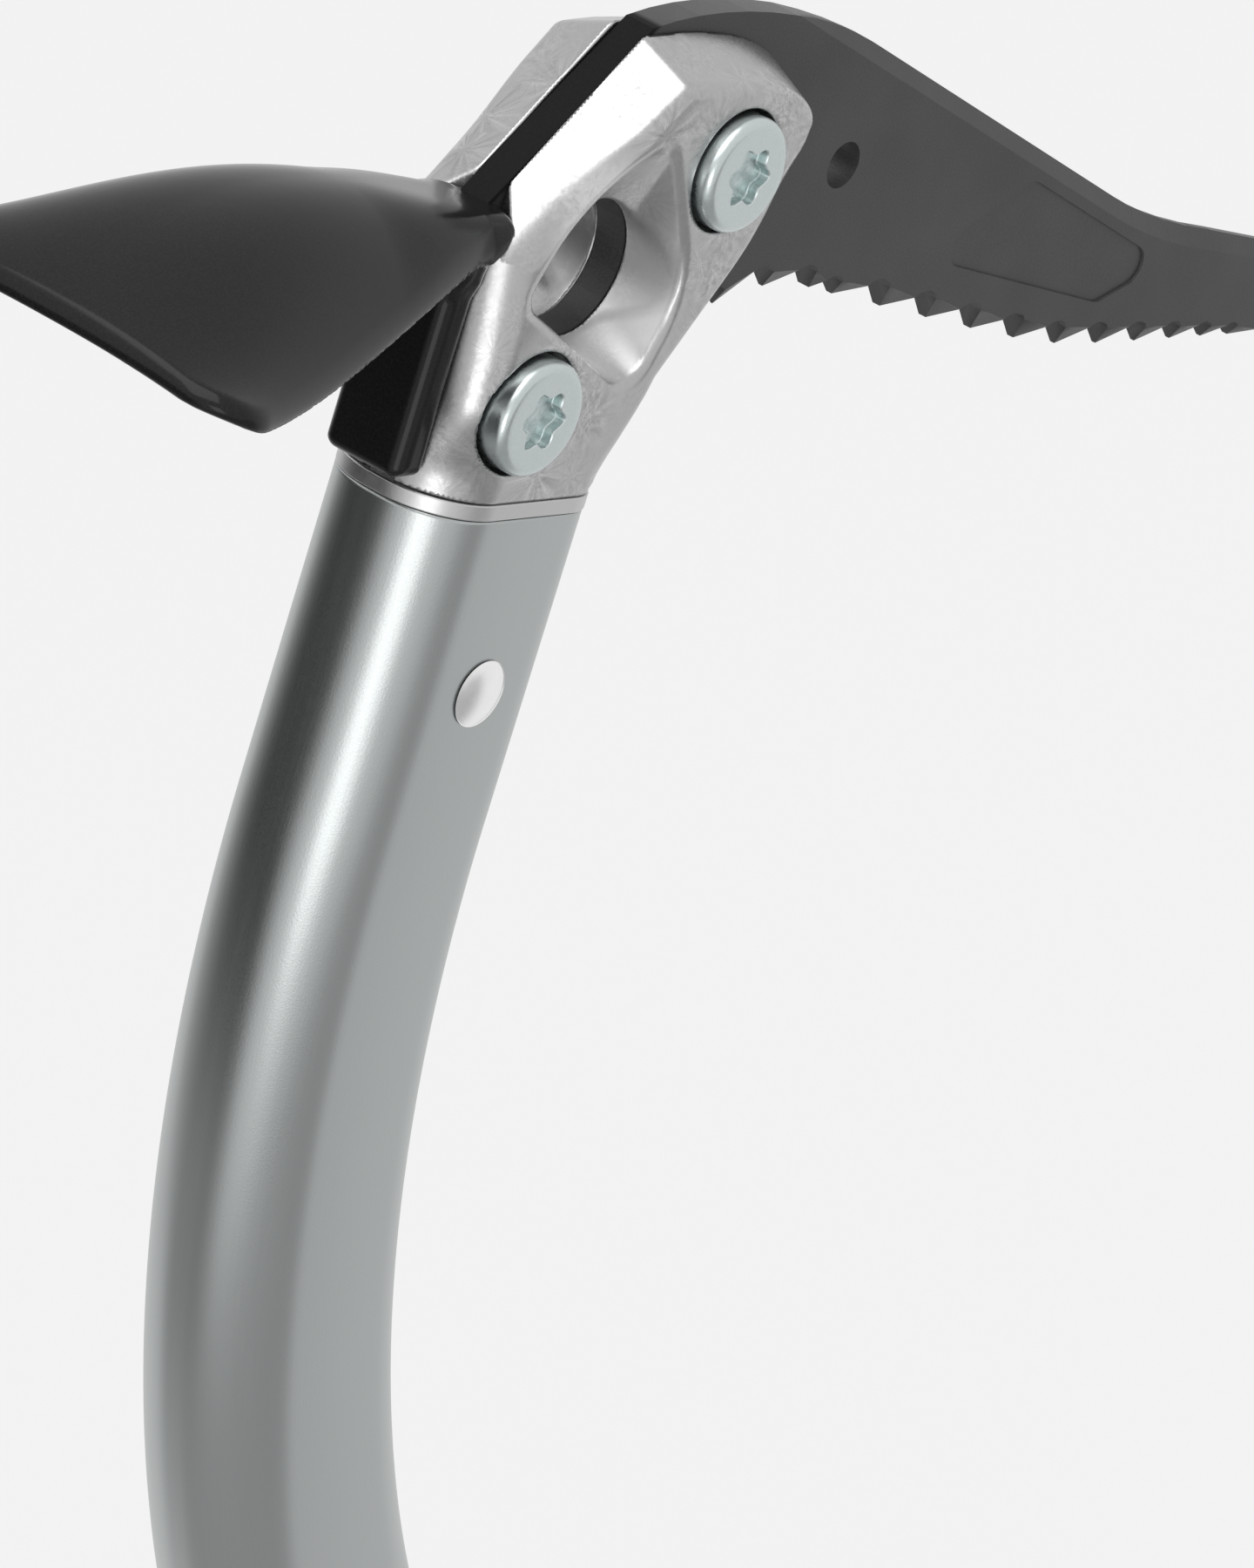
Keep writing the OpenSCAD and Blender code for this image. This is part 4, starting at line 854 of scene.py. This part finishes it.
skin = mesh_piece(
    "grip_skin_moulded", sweep(skin_walk, skin_rings).reshape(-1, 3),
    [grid_faces(len(skin_walk), girth, True, True)[:, ::-1]], rubber, uv=skin_uv.reshape(-1, 2), crease=60,
)
stand_for(skin, "grip_rubber", "grip_skin")

# FERRULE, PLUG AND SPIKE
# An alloy ferrule closes the foot of the grip. A moulded plug inside the tube holds the tang of a
# forged steel spike, which a rivet crosses; the spike's eye takes a karabiner.
STEEL, GROUND = (0.47, 0.475, 0.48), 0.34


def ground_steel(place):
    """Forged and ground steel: grinding lines across the plate and a mottled skin."""
    lines = place.vector("MULTIPLY", (0.5, 0.5, 7.0)).noise(1.0, 3.0)
    mottle = place.noise(0.3, 3.0)
    tone = 0.5 + (lines - 0.5) * 0.5 + (mottle - 0.5) * 0.4
    return {
        "Base Color": tone.clamp().blend(*shades(STEEL, 0.72, 1.2)),
        "Roughness": GROUND + (lines - 0.5) * 0.2 + (mottle - 0.5) * 0.1,
        "Bump": (lines, 0.012),
    }


eased("ferrule", 0.4, bare_metal, "bright_alloy")
eased("end_plug", 0.3, plastic, "grey_plastic")
eased("spike", 0.45, finish("ground_steel", ground_steel, Metallic=1.0), "spike_steel")
eased("spike_rivet", 0.15, bright, "polished_steel")

# HAND REST
# A moulded shelf under the little finger folds up on a steel pin through lugs on the ferrule, with
# a slippery washer each side and a rubber pad on top.


def slippery_plastic(place):
    """White bearing plastic: faintly cloudy and waxy."""
    cloud = place.noise(0.8, 2.0)
    return {
        "Base Color": cloud.blend((0.66, 0.66, 0.64), (0.78, 0.78, 0.76)),
        "Roughness": 0.38 + (cloud - 0.5) * 0.2,
        "Bump": (place.noise(3.0, 2.0), 0.01),
    }


bearing = finish("bearing_plastic", slippery_plastic)
eased("hand_rest", 0.6, plastic, "grey_plastic")
eased("hand_rest_pad", 0.35, rubber, "grip_rubber")
eased("rest_pin", 0.15, bright, "polished_steel")
eased("rest_washers", 0.08, bearing, "white_plastic")

# FINGER REST
# A moulded band slides on the tube above the grip, on a thin liner. Its hook carries the index
# finger on a rubber pad, and a cam lever on a pin presses a shoe against the tube to lock it.
eased("trigger_band", 0.5, plastic, "grey_plastic")
eased("trigger_liner", 0.1, bearing, "white_plastic")
eased("trigger_pad", 0.3, rubber, "grip_rubber")
eased("trigger_shoe", 0.15, plastic, "grey_plastic")
eased("trigger_lever_pin", 0.12, bright, "polished_steel")
eased("trigger_lever", 0.35, dark_steel, "dark_steel")

# FLOOR, LIGHT AND CAMERA
# A plain pale floor under the spike, one soft box in front and one above, and a long lens that looks
# down on the head from behind its left side. A black flag and a grey mat, which only reflections
# see, give the metal something dark to mirror.
PALE, MATT, DIFFUSE_LOSS = (0.915, 0.915, 0.915), 0.9, 0.45
FLOOR_Z, FLOOR_HALF, FLOOR_GREY, FLOOR_GLOW = -42.0, 6000.0, 0.8, 0.9
LIT_AT = np.array([0.09, 0, 0.42])
FLAG_WAY, FLAG_SIDE, FLAG_TOP = np.array([[-0.70, 0.71, 0.02], [0.71, 0.70, 0.0], [0.0, 0.0, 1.0]])
FLAG_AT, FLAG_HALF, FLAG_SHADE = np.array([0.06, 0, 0.40]) + 1.1 * FLAG_WAY, (1.6, 0.75), 0.02
MAT_AT, MAT_HALF, MAT_Z, MAT_SHADE = (-650.0, -450.0), 1350.0, FLOOR_Z + 1, 0.46
SQUARE = np.array([[-1, -1], [1, -1], [1, 1], [-1, 1]])
SENSOR, LENS, CLIP_FROM, CLIP_TO = 36.0, 180.0, 0.05, 50.0
CAMERA = (
    (0.6476, 0.6494, -0.3986, -0.2807),
    (-0.7429, 0.4215, -0.5201, -0.4735),
    (-0.1697, 0.6330, 0.7554, 1.0574),
    (0, 0, 0, 1),
)


def lamp(name, towards, distance, width, height, level):
    """A soft box that shines on the head from a direction, at a level where 1 is white."""
    light = bpy.data.lights.new(name, "AREA")
    light.shape, light.size, light.size_y = "RECTANGLE", width, height
    light.energy = level * math.pi * width * height
    towards = np.array(towards) / np.linalg.norm(towards)
    made = bpy.data.objects.new(name, light)
    side = np.cross([0, 0, 1], towards)
    side /= np.linalg.norm(side)
    top = np.cross(towards, side)
    spot = LIT_AT + distance * towards
    made.matrix_world = Matrix(np.vstack([np.c_[side, top, towards, spot], [0, 0, 0, 1]]))
    bpy.context.scene.collection.objects.link(made)


lamp("front_box", towards=(-0.77, -0.60, 0.33), distance=1.3, width=0.60, height=0.60, level=2.1)
lamp("top_box", towards=(0.06, 0.04, 1.0), distance=1.3, width=1.4, height=1.4, level=2.0)


def card(name, corners, shade, fade):
    """A card that only reflections see: it dims what lies behind it by a share that fade(place) gives."""
    look = bpy.data.materials.new(name)
    look.use_nodes = True
    tree = look.node_tree
    place = Paint(tree).node("TexCoord", None, None, "Object")
    clear = place.node("BsdfTransparent")
    dark = place.node("Emission", None, {"Color": (shade, shade, shade, 1)})
    mixed = place.node("MixShader", None, {0: fade(place), 1: clear, 2: dark})
    tree.links.new(mixed.socket, tree.nodes["Material Output"].inputs["Surface"])
    made = mesh_piece(name, corners, [[[0, 1, 2, 3]]], look)
    made.visible_camera = made.visible_diffuse = made.visible_shadow = False


def flag_share(place):
    """Full near the flag's middle, gone at its ends, and weaker low down."""
    height = place.vector("DOT_PRODUCT", tuple(FLAG_TOP), 1)
    near = 1 - place.vector("DISTANCE", tuple(FLAG_AT), 1).ease(0.6, 1.55)
    return near * (0.4 + 0.6 * height.ease(0.0, 0.6))


def mat_share(place):
    """Full behind the tool on its near side, gone in front of it."""
    return 1 - place.vector("DOT_PRODUCT", (1, 0.8, 0), 1).ease(-0.25, 0.02)


flag_corners = FLAG_AT + SQUARE * FLAG_HALF @ np.array([FLAG_SIDE, FLAG_TOP])
card("black_flag", flag_corners / MM, FLAG_SHADE, flag_share)
mat_corners = [(*corner, MAT_Z) for corner in MAT_AT + SQUARE * MAT_HALF]
card("grey_mat", mat_corners, MAT_SHADE, mat_share)

floor_look = bpy.data.materials.new("pale_floor")
floor_look.use_nodes = True
floor_tree = floor_look.node_tree
ground = floor_tree.nodes["Principled BSDF"]
ground.inputs["Base Color"].default_value = (FLOOR_GREY, FLOOR_GREY, FLOOR_GREY, 1)
ground.inputs["Roughness"].default_value = MATT
seen = Paint(floor_tree).node("LightPath", None, None, "Is Camera Ray")
for ray in ("Is Glossy Ray", "Is Transmission Ray"):
    seen = seen.math("MAXIMUM", seen.node("LightPath", None, None, ray))
glow = seen.node("Emission", None, {"Color": (*PALE, 1), "Strength": 1.0})
far = seen.node("TexCoord", None, None, "Object").vector("DISTANCE", (0, 0, 0), 1).ease(0.8, 3.0)
glow_share = seen * (FLOOR_GLOW + far * (1 - FLOOR_GLOW))
mixed = seen.node("MixShader", None, {0: glow_share, 1: Paint(floor_tree, ground.outputs[0]), 2: glow})
floor_tree.links.new(mixed.socket, floor_tree.nodes["Material Output"].inputs["Surface"])
floor_corners = [(*corner, FLOOR_Z) for corner in SQUARE * FLOOR_HALF]
floor = mesh_piece("floor", floor_corners, [[[0, 1, 2, 3]]], floor_look)

world = bpy.data.worlds.new("studio")
world.use_nodes = True
bpy.context.scene.world = world
air = world.node_tree.nodes["Background"]
air.inputs["Color"].default_value = (*PALE, 1)
diffuse = Paint(world.node_tree).node("LightPath", None, None, "Is Diffuse Ray")
world.node_tree.links.new((1 - diffuse * DIFFUSE_LOSS).socket, air.inputs["Strength"])

view = bpy.data.objects.new("camera", bpy.data.cameras.new("camera"))
view.data.sensor_fit, view.data.sensor_height, view.data.lens = "VERTICAL", SENSOR, LENS
view.data.clip_start, view.data.clip_end = CLIP_FROM, CLIP_TO
view.matrix_world = Matrix(CAMERA)
bpy.context.scene.collection.objects.link(view)
bpy.context.scene.camera = view
bpy.context.scene.view_settings.view_transform = "Standard"
